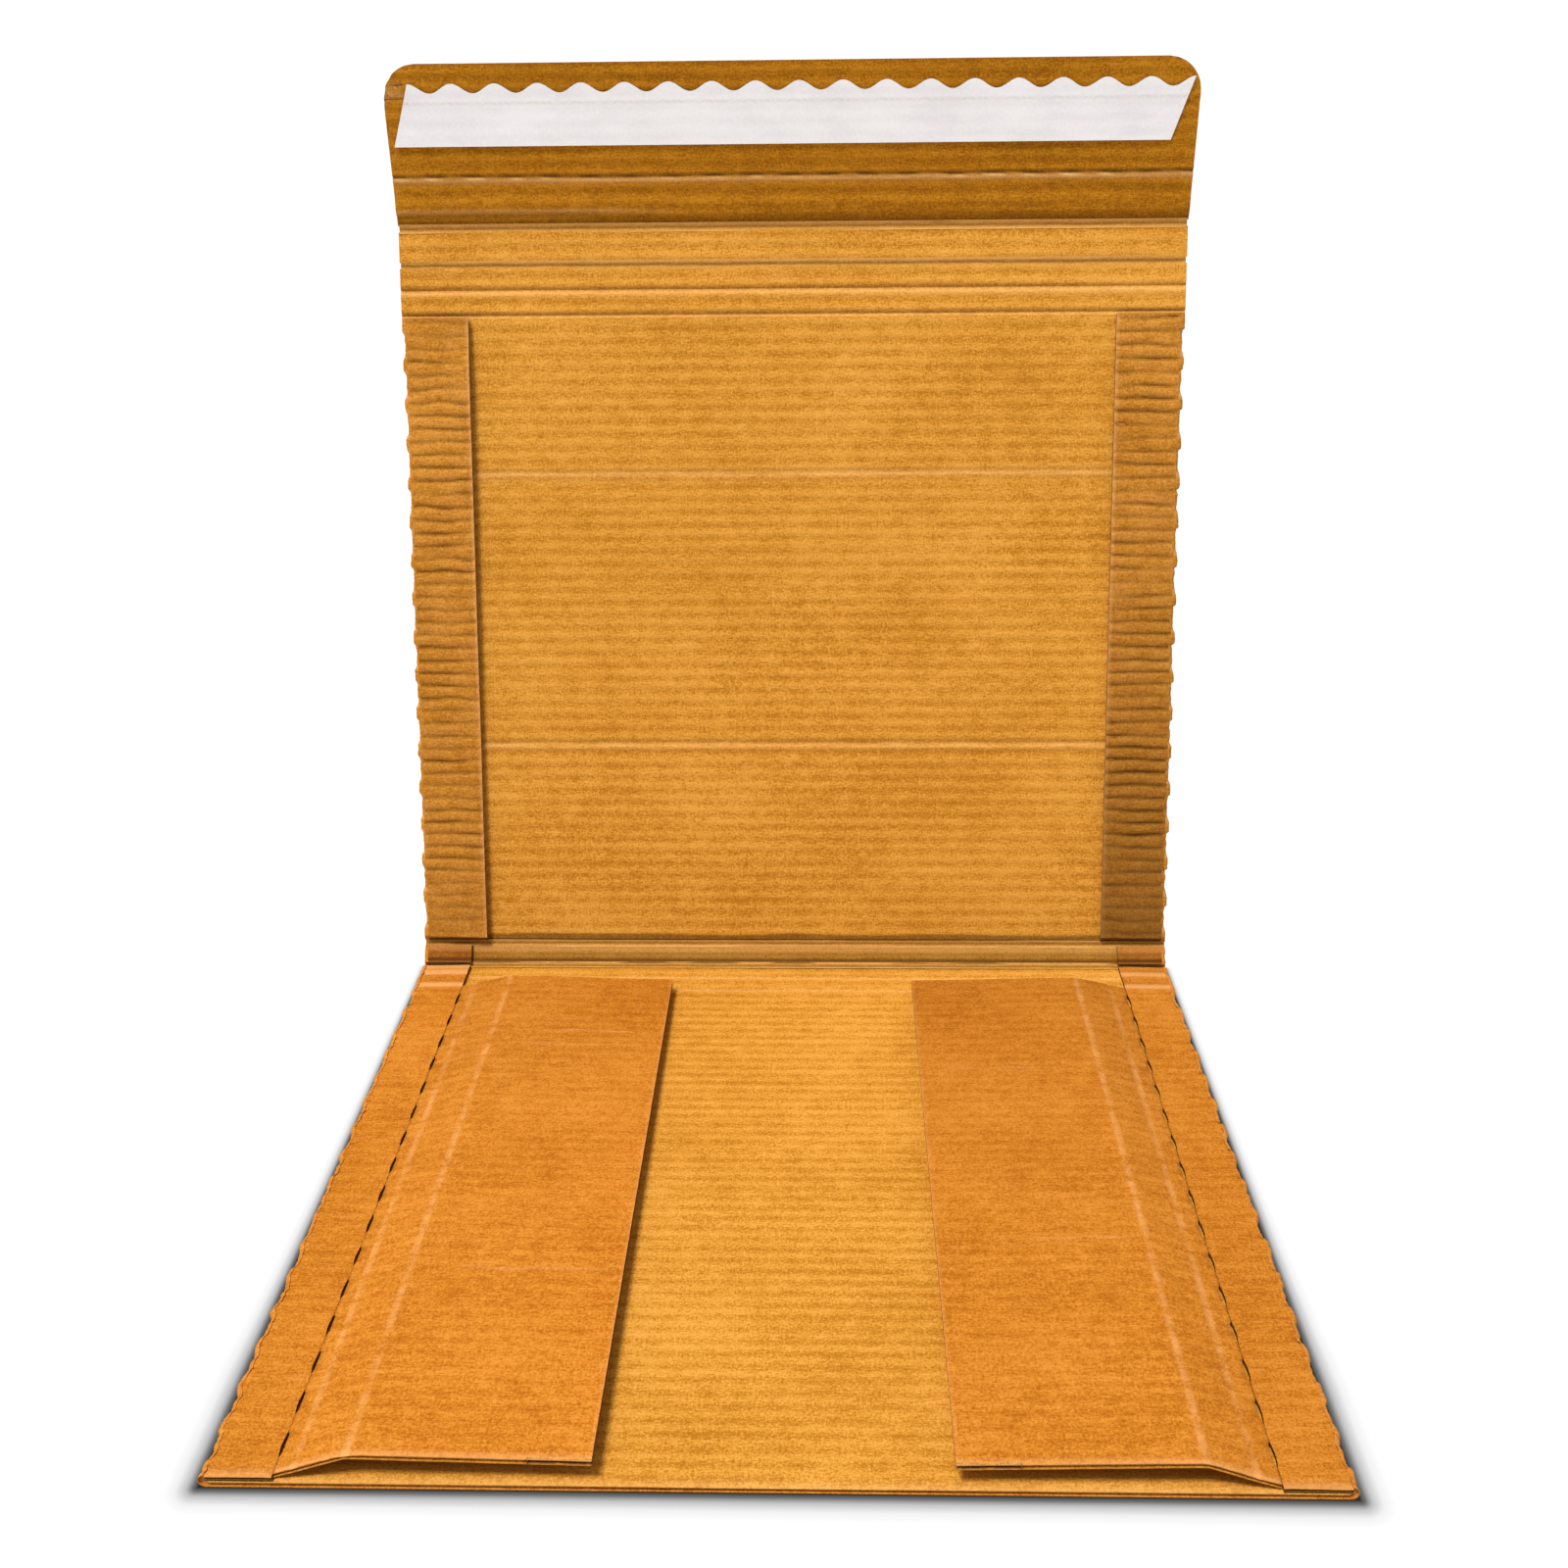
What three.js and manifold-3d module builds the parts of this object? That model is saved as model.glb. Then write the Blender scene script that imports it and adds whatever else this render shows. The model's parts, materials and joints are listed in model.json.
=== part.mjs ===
// A corrugated record mailer, opened, standing on its base with the lid leaning back.
// Millimetres. X runs to the right, Y away from the viewer, Z up.
// One die-cut board makes every panel. Its flutes run along X.
// Each side edge is folded over by half a turn into a flat band, and the two wings
// rise from the bands over the record bay. Creases across the board at each end let
// it close at several depths, and the flap carries an adhesive strip under a liner.

import * as THREE from "three";
import { mergeGeometries, mergeVertices } from "three/addons/utils/BufferGeometryUtils.js";
import Module from "manifold-3d";

const wasm = await Module();
wasm.setup();

// Board
const BOARD = 3.0; // thickness of one layer
const LINER = 0.4; // flat paper on each face of the board
const WEB = 0.4; // fluted paper between the liners
const FLUTE_PITCH = 7.2;
const FLUTES_PER_PERFORATION = 3;

// Mailer
const WIDTH = 433;
const BASE_LENGTH = 355; // front edge to the first depth crease
const LID_LENGTH = 357; // lid fold to its first depth crease
const DEPTH_STEP = 13.5; // distance between depth creases, and height of the back strip
const SPARE_STEPS = 2; // depth steps left flat at each end when closed this thin
const FRONT_HEIGHT = 19.5; // height of the strip that closes the front
const FLAP_HEIGHT = 83.5;
const FLAP_CORNER = 18; // radius of the flap's free corners
const FLAP_TEAR_LINE = 26.2; // height of the perforated line above the flap's fold

// Sides
const BAND_WIDTH = 28.5; // folded band beside the base and the back strip
const LID_STRIP_WIDTH = 38; // folded strip beside the lid
const LAYER_GAP = 0.5; // air between a band and the panel under it
const LEFT_STRIP_LIFT = 2.4; // the lid's left strip has sprung up this far
const SCALLOP_LENGTH = 10; // cut part of a perforated fold
const SCALLOP_DEPTH = 1.3;

// Wings
const WING_REACH = 120.5; // perforated fold to the free edge, seen from above
const WING_FACET = 28; // width of the sloping facet, seen from above
const WING_RISE = 10.2; // climb of the facet at the front
const WING_SAG = 2.4; // fall of the wing from its crease to its free edge
const WING_DROOP = 3; // how much lower the wing lies at the back
const WING_INSET = 1.5; // wing ends stand in from the base panel's ends
const WING_CHANNEL_DEPTH = 26; // modelled depth of the open flutes in a free edge
const STRIP_CHANNEL_DEPTH = 12;

// Adhesive strip and its liner
const TAPE = 0.3; // each layer with the air under it
const TAPE_AIR = 0.05;
const TAPE_HEIGHT = 20;
const TAPE_BOTTOM = 46; // height above the flap's fold
const TAPE_LENGTH = 400;
const LINER_HEIGHT = 29; // from the straight edge to the middle of the wave
const LINER_BOTTOM = 42.5;
const LINER_LENGTH = 416;
const LINER_SLANT = 10.4; // how far each end leans to the right
const LINER_WAVES = 18;
const LINER_WAVE_HEIGHT = 2.4; // half of the wave's height

// Folds
const FOLD_GAP = 0.3; // clearance at a fold between two panels
const CREASE_WIDTH = 3;
const CREASE_DEPTH = 0.9;
const EDGE_GROOVE = 1.6; // depth of the gap between the liners at a cut edge
const BACK_STRIP_ANGLE = 54; // degrees above the floor
const LID_ANGLE = 74.7;
const FLAP_ANGLE = 94; // the flap nods towards the viewer

// Derived places
const HALF = WIDTH / 2;
const BASE_DEPTH = BASE_LENGTH + SPARE_STEPS * DEPTH_STEP;
const LID_DEPTH = LID_LENGTH + SPARE_STEPS * DEPTH_STEP;
const WING_HINGE = HALF - BAND_WIDTH;
const BAND_TOP = 2 * BOARD;
const PERFORATION = FLUTES_PER_PERFORATION * FLUTE_PITCH;
const BAND_TRIM = BOARD + FOLD_GAP; // bands stop this far short of a fold
const OVER = 1; // cutters reach this far past what they cut

// Plain solids: outlines pushed along one axis

function outline(points) {
  return new THREE.Shape(points.map(([u, v]) => new THREE.Vector2(u, v)));
}

function pushed(points, length, basis, start, steps = 1) {
  const shape = points instanceof THREE.Shape ? points : outline(points);
  const settings = { depth: length, bevelEnabled: false, steps, curveSegments: 10 };
  const geometry = new THREE.ExtrudeGeometry(shape, settings);
  geometry.deleteAttribute("normal");
  geometry.deleteAttribute("uv");
  const turn = new THREE.Matrix4().makeBasis(...basis.map((axis) => new THREE.Vector3(...axis)));
  geometry.applyMatrix4(turn);
  geometry.translate(...start);
  return geometry;
}

// points are (y, z)
function alongX(points, x0, x1) {
  return pushed(points, x1 - x0, [[0, 1, 0], [0, 0, 1], [1, 0, 0]], [x0, 0, 0]);
}

// points are (x, z)
function alongY(points, y0, y1, steps = 1) {
  return pushed(points, y1 - y0, [[1, 0, 0], [0, 0, 1], [0, -1, 0]], [0, y1, 0], steps);
}

// points are (x, y)
function alongZ(points, z0, z1) {
  return pushed(points, z1 - z0, [[1, 0, 0], [0, 1, 0], [0, 0, 1]], [0, 0, z0]);
}

function block(x0, x1, y0, y1, z0, z1) {
  return alongZ([[x0, y0], [x1, y0], [x1, y1], [x0, y1]], z0, z1);
}

// Joining and cutting

function solid(...geometries) {
  const merged = mergeVertices(mergeGeometries(geometries), 1e-4);
  return new wasm.Manifold(new wasm.Mesh({
    numProp: 3,
    vertProperties: new Float32Array(merged.attributes.position.array),
    triVerts: new Uint32Array(merged.index.array),
  }));
}

function cut(body, cutters) {
  return cutters.length ? body.subtract(solid(...cutters)) : body;
}

function named(name, body, material) {
  const mesh = body.getMesh();
  const geometry = new THREE.BufferGeometry();
  geometry.setAttribute("position", new THREE.BufferAttribute(mesh.vertProperties, 3));
  geometry.setIndex(new THREE.BufferAttribute(mesh.triVerts, 1));
  geometry.computeVertexNormals();
  const result = new THREE.Mesh(geometry, material);
  result.name = name;
  return result;
}

// Fluting: the open cells between the liners, cut along X

// One cell as (y, z) points, wide at the bottom liner, or at the top one when flipped.
function cell(y, bottom, thickness, flipped) {
  const foot = FLUTE_PITCH / 2 - 2.5 * WEB;
  const head = FLUTE_PITCH / 8;
  const low = bottom + LINER + (flipped ? WEB : 0);
  const high = low + thickness - 2 * LINER - WEB;
  const [lower, upper] = flipped ? [head, foot] : [foot, head];
  return [[y - lower, low], [y + lower, low], [y + upper, high], [y - upper, high]];
}

// Cells from y0 to y1, open between x0 and x1, in a layer whose lower face is at bottom(y).
function flutes(y0, y1, bottom, x0, x1, thickness = BOARD) {
  const cells = [];
  const count = Math.floor((y1 - y0 - 2 * WEB) / FLUTE_PITCH);
  const first = (y0 + y1 - (count - 1) * FLUTE_PITCH) / 2;
  for (let i = 0; i < 2 * count - 1; i += 1) {
    const y = first + (i * FLUTE_PITCH) / 2;
    cells.push(alongX(cell(y, bottom(y), thickness, i % 2 === 1), x0, x1));
  }
  return cells;
}

// Creases and perforations

// A pressed line across the board at y, in a face at height top.
function crease(y, top, x0, x1) {
  const side = CREASE_WIDTH / 2;
  const lip = CREASE_DEPTH / 2;
  const groove = [
    [y - side, top + lip],
    [y - side / 2, top - CREASE_DEPTH / 2],
    [y, top - CREASE_DEPTH],
    [y + side / 2, top - CREASE_DEPTH / 2],
    [y + side, top + lip],
  ];
  return alongX(groove, x0, x1);
}

// Bites along a fold that runs from y0 to y1 at x, each entering towards x + depth.
function scallops(x, depth, y0, y1, z0, z1) {
  const bites = [];
  const count = Math.floor((y1 - y0 - SCALLOP_LENGTH) / PERFORATION) + 1;
  const first = (y0 + y1 - (count - 1) * PERFORATION) / 2;
  const out = x - Math.sign(depth) * OVER;
  const ramp = 1.5 * Math.abs(depth);
  for (let i = 0; i < count; i += 1) {
    const y = first + i * PERFORATION;
    const half = SCALLOP_LENGTH / 2;
    bites.push(alongZ([
      [out, y - half - ramp], [x + depth, y - half], [x + depth, y + half], [out, y + half + ramp],
    ], z0, z1));
  }
  return bites;
}

// A sheet with both side edges folded over, as (x, z) points.
// The panel's lower face is at z = bottom, and the bands lie above it.
function foldedProfile(bandWidth, bottom, liftLeft) {
  const points = [];
  const arcSteps = 8;
  const middle = bottom + BOARD;
  const inner = HALF - bandWidth + FOLD_GAP / 2;
  const centre = HALF - BOARD;
  const slot = middle + LAYER_GAP;
  const roll = (side) => {
    const arc = [];
    for (let i = 0; i <= arcSteps; i += 1) {
      const angle = -Math.PI / 2 + (Math.PI * i) / arcSteps;
      arc.push([side * (centre + BOARD * Math.cos(angle)), middle + BOARD * Math.sin(angle)]);
    }
    return arc;
  };
  const band = (side, lift) => [
    [side * inner, bottom + 2 * BOARD + lift],
    [side * inner, slot + lift],
    [side * (centre - BOARD / 2), slot],
    [side * centre, middle + LAYER_GAP / 2],
    [side * (centre - BOARD / 2), middle],
  ];
  points.push(...roll(1), ...band(1, 0));
  points.push(...band(-1, liftLeft).reverse(), ...roll(-1).reverse());
  return points;
}

// Panels. Each is drawn flat with its fold along X at y = 0 and its inner face at z = 0,
// apart from the base, which lies on the floor with its front edge at y = 0.

function basePanel() {
  const body = solid(alongY(foldedProfile(BAND_WIDTH, 0, 0), 0, BASE_DEPTH - FOLD_GAP / 2));
  const bandEnd = BASE_DEPTH - BAND_TRIM;
  const cutters = [
    block(-HALF - OVER, HALF + OVER, bandEnd, BASE_DEPTH + OVER, BOARD, BAND_TOP + OVER),
    ...scallops(-HALF, SCALLOP_DEPTH, 0, BASE_LENGTH, -OVER, BAND_TOP + OVER),
    ...scallops(HALF, -SCALLOP_DEPTH, 0, BASE_LENGTH, -OVER, BAND_TOP + OVER),
  ];
  for (const side of [-1, 1]) {
    const ends = [side * (WING_HINGE - OVER), side * (HALF + OVER)].sort((a, b) => a - b);
    cutters.push(crease(BASE_LENGTH, BAND_TOP, ...ends));
    cutters.push(crease(BASE_LENGTH + DEPTH_STEP, BAND_TOP, ...ends));
  }
  const panelEdge = WING_HINGE - CREASE_WIDTH;
  cutters.push(crease(BASE_LENGTH, BOARD, -panelEdge, panelEdge));
  cutters.push(crease(BASE_LENGTH + DEPTH_STEP, BOARD, -panelEdge, panelEdge));
  const grooveEnd = HALF - 2 * BOARD;
  cutters.push(block(-grooveEnd, grooveEnd, -OVER, EDGE_GROOVE, LINER, BOARD - LINER));
  return cut(body, cutters);
}

function backStrip() {
  const start = FOLD_GAP / 2;
  const end = DEPTH_STEP - FOLD_GAP / 2;
  const body = solid(alongY(foldedProfile(BAND_WIDTH, -BOARD, 0), start, end));
  return cut(body, [
    block(-HALF - OVER, HALF + OVER, 0, FOLD_GAP, 0, BOARD + OVER),
  ]);
}

// Open flute ends in the free edge of one of the lid's folded strips.
function stripChannels(side, lift, y0, y1) {
  const edge = HALF - LID_STRIP_WIDTH;
  const tilt = Math.atan2(lift, LID_STRIP_WIDTH - 1.5 * BOARD);
  const ends = [-side * OVER, side * STRIP_CHANNEL_DEPTH].sort((a, b) => a - b);
  const channels = flutes(y0, y1, () => 0, ...ends, BOARD - LAYER_GAP);
  for (const channel of channels) {
    channel.rotateY(side * tilt).translate(side * edge, 0, LAYER_GAP + lift);
  }
  return channels;
}

function lidPanel() {
  const stripEnd = LID_LENGTH - CREASE_WIDTH / 2;
  const profile = foldedProfile(LID_STRIP_WIDTH, -BOARD, LEFT_STRIP_LIFT);
  const folded = alongY(profile, FOLD_GAP / 2, stripEnd);
  const flat = block(-HALF, HALF, stripEnd - BOARD, LID_DEPTH - FOLD_GAP / 2, -BOARD, 0);
  const above = BOARD + LEFT_STRIP_LIFT + OVER;
  const wide = HALF + OVER;
  const cutters = [
    block(-wide, wide, 0, BAND_TRIM, 0, above),
    ...scallops(-HALF, SCALLOP_DEPTH, BAND_TRIM, stripEnd, -BOARD - OVER, above),
    ...scallops(HALF, -SCALLOP_DEPTH, BAND_TRIM, stripEnd, -BOARD - OVER, above),
    crease(LID_LENGTH, 0, -wide, wide),
    crease(LID_LENGTH + DEPTH_STEP, 0, -wide, wide),
  ];
  const channels = [
    ...stripChannels(-1, LEFT_STRIP_LIFT, BAND_TRIM, stripEnd),
    ...stripChannels(1, 0, BAND_TRIM, stripEnd),
    ...flutes(LID_LENGTH, LID_DEPTH, () => -BOARD, -wide, wide),
  ];
  return cut(cut(solid(folded).add(solid(flat)), cutters), channels);
}

function frontStrip() {
  const start = FOLD_GAP / 2;
  const end = FRONT_HEIGHT - FOLD_GAP / 2;
  const body = solid(block(-HALF, HALF, start, end, -BOARD, 0));
  return cut(body, flutes(start, end, () => -BOARD, -HALF - OVER, HALF + OVER));
}

function closureFlap() {
  const start = FOLD_GAP / 2;
  const shoulder = FLAP_HEIGHT - FLAP_CORNER;
  const shape = new THREE.Shape();
  shape.moveTo(-HALF, start);
  shape.lineTo(HALF, start);
  shape.absarc(HALF - FLAP_CORNER, shoulder, FLAP_CORNER, 0, Math.PI / 2, false);
  shape.absarc(FLAP_CORNER - HALF, shoulder, FLAP_CORNER, Math.PI / 2, Math.PI, false);
  shape.closePath();
  const body = solid(alongZ(shape, -BOARD, 0));
  const slits = [];
  const count = Math.floor(WIDTH / PERFORATION);
  const slitWidth = CREASE_WIDTH / 6;
  for (let i = 0; i < count; i += 1) {
    const x = (i - (count - 1) / 2) * PERFORATION;
    slits.push(alongZ([
      [x - SCALLOP_LENGTH / 2, FLAP_TEAR_LINE], [x, FLAP_TEAR_LINE - slitWidth],
      [x + SCALLOP_LENGTH / 2, FLAP_TEAR_LINE], [x, FLAP_TEAR_LINE + slitWidth],
    ], -BOARD - OVER, OVER));
  }
  const reach = HALF + OVER;
  const below = () => -BOARD;
  const channels = [
    ...flutes(start, FLAP_TEAR_LINE - CREASE_WIDTH / 2, below, -reach, reach),
    ...flutes(FLAP_TEAR_LINE + CREASE_WIDTH / 2, FLAP_HEIGHT - WEB, below, -reach, reach),
  ];
  return cut(cut(cut(body, [crease(FLAP_TEAR_LINE, 0, -reach, reach)]), slits), channels);
}

// A wing, drawn with its perforated fold along Y at x = 0 and z = 0. It reaches to the
// right for side 1 and to the left for side -1, climbs over the facet, sags a little to
// its free edge, and droops towards the back.
function wing(side) {
  const length = BASE_LENGTH - 2 * WING_INSET;
  const slope = Math.atan2(WING_RISE, WING_FACET);
  const fall = Math.atan2(WING_SAG, WING_REACH - WING_FACET);
  const edgeHeight = WING_RISE - WING_SAG;
  const droop = (x, y) => (-WING_DROOP * y * Math.min(1, Math.abs(x) / WING_FACET)) / length;
  const under = (point, angle, scale) => [
    point[0] + BOARD * scale * Math.sin(angle),
    point[1] - BOARD * scale * Math.cos(angle),
  ];
  const fold = [(FOLD_GAP / 2) * Math.cos(slope), (FOLD_GAP / 2) * Math.sin(slope)];
  const crest = [WING_FACET, WING_RISE];
  const edge = [WING_REACH, edgeHeight];
  const profile = [
    fold,
    under(fold, slope, 1),
    under(crest, (slope - fall) / 2, 1 / Math.cos((slope + fall) / 2)),
    under(edge, -fall, 1),
    edge,
    crest,
  ].map(([x, z]) => [side * x, z]);
  const sheet = alongY(profile, 0, length, Math.round(length / PERFORATION));
  const spots = sheet.attributes.position;
  for (let i = 0; i < spots.count; i += 1) {
    spots.setZ(i, spots.getZ(i) + droop(spots.getX(i), spots.getY(i)));
  }
  const bites = scallops(0, side * SCALLOP_DEPTH, 0, length, -2 * BOARD, BOARD);
  const ends = [-side * WING_CHANNEL_DEPTH, side * OVER].sort((a, b) => a - b);
  const channels = flutes(0, length, (y) => droop(WING_REACH, y) - BOARD, ...ends);
  for (const channel of channels) {
    channel.rotateY(side * fall).translate(side * WING_REACH, 0, edgeHeight);
  }
  return cut(cut(solid(sheet), bites), channels);
}

// Adhesive strip and release liner, drawn on the flap's inner face

function adhesiveStrip() {
  const half = TAPE_LENGTH / 2;
  return solid(block(-half, half, TAPE_BOTTOM, TAPE_BOTTOM + TAPE_HEIGHT, TAPE_AIR, TAPE));
}

function releaseLiner() {
  const left = -LINER_LENGTH / 2;
  const points = [[left - LINER_SLANT / 2, LINER_BOTTOM], [-left - LINER_SLANT / 2, LINER_BOTTOM]];
  const samples = LINER_WAVES * 8;
  for (let i = samples; i >= 0; i -= 1) {
    const x = left + LINER_SLANT / 2 + (LINER_LENGTH * i) / samples;
    const wave = LINER_WAVE_HEIGHT * Math.cos((2 * Math.PI * LINER_WAVES * i) / samples);
    points.push([x, LINER_BOTTOM + LINER_HEIGHT + wave]);
  }
  return solid(alongZ(points, TAPE + TAPE_AIR, 2 * TAPE));
}

// Papers, in the photo's colours

function paper(colour, roughness) {
  return new THREE.MeshStandardMaterial({ color: colour, roughness, metalness: 0 });
}

const innerKraft = () => paper(0xe09a42, 0.92);
const wingKraft = () => paper(0xe0903a, 0.92);

// Assembly. Each turned piece sits in a group whose origin is its fold.

const degrees = THREE.MathUtils.degToRad;

// The place a distance along a panel that leaves the fold at `from` at an angle to the floor.
function along(from, distance, angle) {
  const turn = degrees(angle);
  return [0, from[1] + distance * Math.cos(turn), from[2] + distance * Math.sin(turn)];
}

function placed(position, angle, ...pieces) {
  const group = new THREE.Group();
  group.position.set(...position);
  group.rotation.x = degrees(angle);
  group.add(...pieces);
  return group;
}

const backFold = [0, BASE_DEPTH, BOARD];
const lidFold = along(backFold, DEPTH_STEP, BACK_STRIP_ANGLE);
const frontFold = along(lidFold, LID_DEPTH, LID_ANGLE);
const flapFold = along(frontFold, FRONT_HEIGHT, LID_ANGLE);

const mailer = new THREE.Group();
mailer.add(
  named("base_panel", basePanel(), innerKraft()),
  placed(backFold, BACK_STRIP_ANGLE, named("back_strip", backStrip(), innerKraft())),
  placed(lidFold, LID_ANGLE, named("lid_panel", lidPanel(), innerKraft())),
  placed(frontFold, LID_ANGLE, named("front_strip", frontStrip(), innerKraft())),
  placed(
    flapFold,
    FLAP_ANGLE,
    named("closure_flap", closureFlap(), innerKraft()),
    named("adhesive_strip", adhesiveStrip(), paper(0xd9c9a8, 0.35)),
    named("release_liner", releaseLiner(), paper(0xefebeb, 0.55)),
  ),
  placed([-WING_HINGE, WING_INSET, BAND_TOP], 0, named("left_wing", wing(1), wingKraft())),
  placed([WING_HINGE, WING_INSET, BAND_TOP], 0, named("right_wing", wing(-1), wingKraft())),
);

// The origin is the middle of the footprint, on the floor.
const footprint = new THREE.Box3().setFromObject(mailer, true);
const middle = footprint.getCenter(new THREE.Vector3());
mailer.position.set(-middle.x, -middle.y, -footprint.min.z);

const part = new THREE.Group();
part.add(mailer);

export default part;
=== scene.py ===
import json
import math

import bpy
import numpy as np
from mathutils import Matrix, Vector


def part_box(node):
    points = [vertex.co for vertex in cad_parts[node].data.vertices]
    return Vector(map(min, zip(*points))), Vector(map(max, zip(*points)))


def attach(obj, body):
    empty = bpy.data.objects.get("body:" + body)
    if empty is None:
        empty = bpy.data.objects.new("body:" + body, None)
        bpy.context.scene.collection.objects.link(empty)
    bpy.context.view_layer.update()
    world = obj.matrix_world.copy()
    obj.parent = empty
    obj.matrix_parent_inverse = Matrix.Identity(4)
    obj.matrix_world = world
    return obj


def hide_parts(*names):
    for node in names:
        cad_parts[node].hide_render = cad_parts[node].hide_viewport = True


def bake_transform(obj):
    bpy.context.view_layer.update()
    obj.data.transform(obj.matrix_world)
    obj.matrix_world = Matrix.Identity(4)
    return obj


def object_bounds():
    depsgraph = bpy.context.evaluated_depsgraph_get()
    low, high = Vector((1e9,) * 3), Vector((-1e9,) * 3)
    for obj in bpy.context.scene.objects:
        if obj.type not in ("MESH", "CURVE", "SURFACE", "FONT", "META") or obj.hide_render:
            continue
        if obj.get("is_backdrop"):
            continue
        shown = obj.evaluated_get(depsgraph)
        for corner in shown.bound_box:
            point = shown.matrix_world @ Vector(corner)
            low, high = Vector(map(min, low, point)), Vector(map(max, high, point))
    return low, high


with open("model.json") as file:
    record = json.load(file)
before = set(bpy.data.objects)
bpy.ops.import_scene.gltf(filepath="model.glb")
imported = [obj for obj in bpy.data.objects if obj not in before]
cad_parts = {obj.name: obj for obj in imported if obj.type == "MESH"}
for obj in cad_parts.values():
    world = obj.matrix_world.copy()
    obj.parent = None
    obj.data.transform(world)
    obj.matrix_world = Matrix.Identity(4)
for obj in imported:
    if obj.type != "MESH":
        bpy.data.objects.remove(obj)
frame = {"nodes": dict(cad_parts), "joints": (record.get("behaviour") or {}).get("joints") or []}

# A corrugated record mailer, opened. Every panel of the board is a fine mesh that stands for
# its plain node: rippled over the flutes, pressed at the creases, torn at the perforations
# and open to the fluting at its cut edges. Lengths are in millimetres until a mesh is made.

cad_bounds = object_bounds()
MM = 0.001

# Board
BOARD = 3.0
LINER = 0.4
FLUTE_PITCH = 7.2
PERFORATION = 3 * FLUTE_PITCH
CUT_LENGTH = 10.0      # cut part of each perforation
SCALLOP = 1.3          # how far the cut part stands in
LEAST_INSET = 0.02     # torn edges stay this far inside the plain board
PANEL_INSET = 1.6      # from a fold's line to the panels at either side

# Panels, as the frame has them
joints = {joint["name"]: joint for joint in frame["joints"]}


def millimetres(node):
    low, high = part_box(node)
    return np.array(low) / MM, np.array(high) / MM


def fold_at(name):
    return np.array(joints[name]["pos_m"]) / MM


base_low, base_high = millimetres("base_panel")
back_fold, lid_fold = fold_at("back_fold"), fold_at("lid_fold")
front_fold, flap_fold = fold_at("front_fold"), fold_at("flap_fold")

HALF = base_high[0]
FRONT = base_low[1]
BASE_DEPTH = back_fold[1] - FRONT
LID_DEPTH = math.hypot(*(front_fold - lid_fold)[1:])
DEPTH_STEP = math.hypot(*(lid_fold - back_fold)[1:])
FRONT_HEIGHT = math.hypot(*(flap_fold - front_fold)[1:])
WING_HINGE = fold_at("right_wing_fold")[0]
BAND = HALF - WING_HINGE
BASE_LENGTH = BASE_DEPTH - 2 * DEPTH_STEP
LID_LENGTH = LID_DEPTH - 2 * DEPTH_STEP
LID_STRIP = 38.0       # width of the lid's folded strips
FOLD_GAP = 0.3         # room for a wing or a band to turn
LAYER_GAP = 0.5        # between a folded band and the face under it
LEFT_LIFT = 2.4        # how far the lid's left strip has sprung up
BAND_TRIM = BOARD + FOLD_GAP
LID_RIDGES = (115.7, 269.0)


def angle_between(start, end):
    return math.atan2(end[2] - start[2], end[1] - start[1])


class Sheet:
    """A panel's own coordinates: x across, s along the sheet, n out of its inner face."""

    def __init__(self, y, z, angle):
        self.y, self.z, self.angle = y, z, angle

    def world(self, x, s, n):
        c, d = math.cos(self.angle), math.sin(self.angle)
        return np.stack([x + 0 * s, self.y + s * c - n * d, self.z + s * d + n * c], -1)


class WingSheet:
    """A wing's coordinates: x inward from its fold, s away from the viewer, n up."""

    def __init__(self, side, y):
        self.side, self.y = side, y

    def world(self, x, s, n):
        return np.stack([self.side * (x - WING_HINGE), self.y + s + 0 * x, 2 * BOARD + n], -1)


BASE = Sheet(FRONT, BOARD, 0.0)
BACK = Sheet(back_fold[1], back_fold[2], angle_between(back_fold, lid_fold))
LID = Sheet(lid_fold[1], lid_fold[2], angle_between(lid_fold, front_fold))
STRIP = Sheet(front_fold[1], front_fold[2], LID.angle)
FLAP_TILT = math.radians(94)
FLAP = Sheet(flap_fold[1], flap_fold[2], FLAP_TILT)

# Seeded noise, ripples and bites


def wobble(u, v, seed):
    """Smooth noise from -1 to 1 with about one bump to the unit."""
    size = 64
    grid = np.random.default_rng(seed).uniform(-1, 1, (size, size))
    u, v = np.broadcast_arrays(np.asarray(u, float), np.asarray(v, float))
    iu, iv = np.floor(u).astype(int), np.floor(v).astype(int)
    fu, fv = u - iu, v - iv
    fu, fv = fu * fu * (3 - 2 * fu), fv * fv * (3 - 2 * fv)
    corner = lambda a, b: grid[(iu + a) % size, (iv + b) % size]
    low = corner(0, 0) * (1 - fu) + corner(1, 0) * fu
    high = corner(0, 1) * (1 - fu) + corner(1, 1) * fu
    return low * (1 - fv) + high * fv


def ease(t):
    t = np.clip(t, 0, 1)
    return t * t * (3 - 2 * t)


def ripple(s, sharp=1.0):
    """0 over a flute's tip, -1 midway between two, narrower in the valley when sharp is over 1."""
    return -((0.5 - 0.5 * np.cos(2 * np.pi * s / FLUTE_PITCH)) ** sharp)


def bump(s, at, width):
    return np.exp(-(((s - at) / width) ** 2))


def bites(s, length, ramp_in, ramp_out):
    """1 inside the cut parts of a perforated fold of that length, 0 between them."""
    count = int((length - CUT_LENGTH) // PERFORATION) + 1
    first = (length - (count - 1) * PERFORATION) / 2
    near = np.clip(np.round((s - first) / PERFORATION), 0, count - 1)
    off = s - (first + near * PERFORATION)
    rise = ease((off + CUT_LENGTH / 2 + ramp_in) / ramp_in)
    fall = ease((CUT_LENGTH / 2 + ramp_out - off) / ramp_out)
    return np.minimum(rise, fall)


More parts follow.
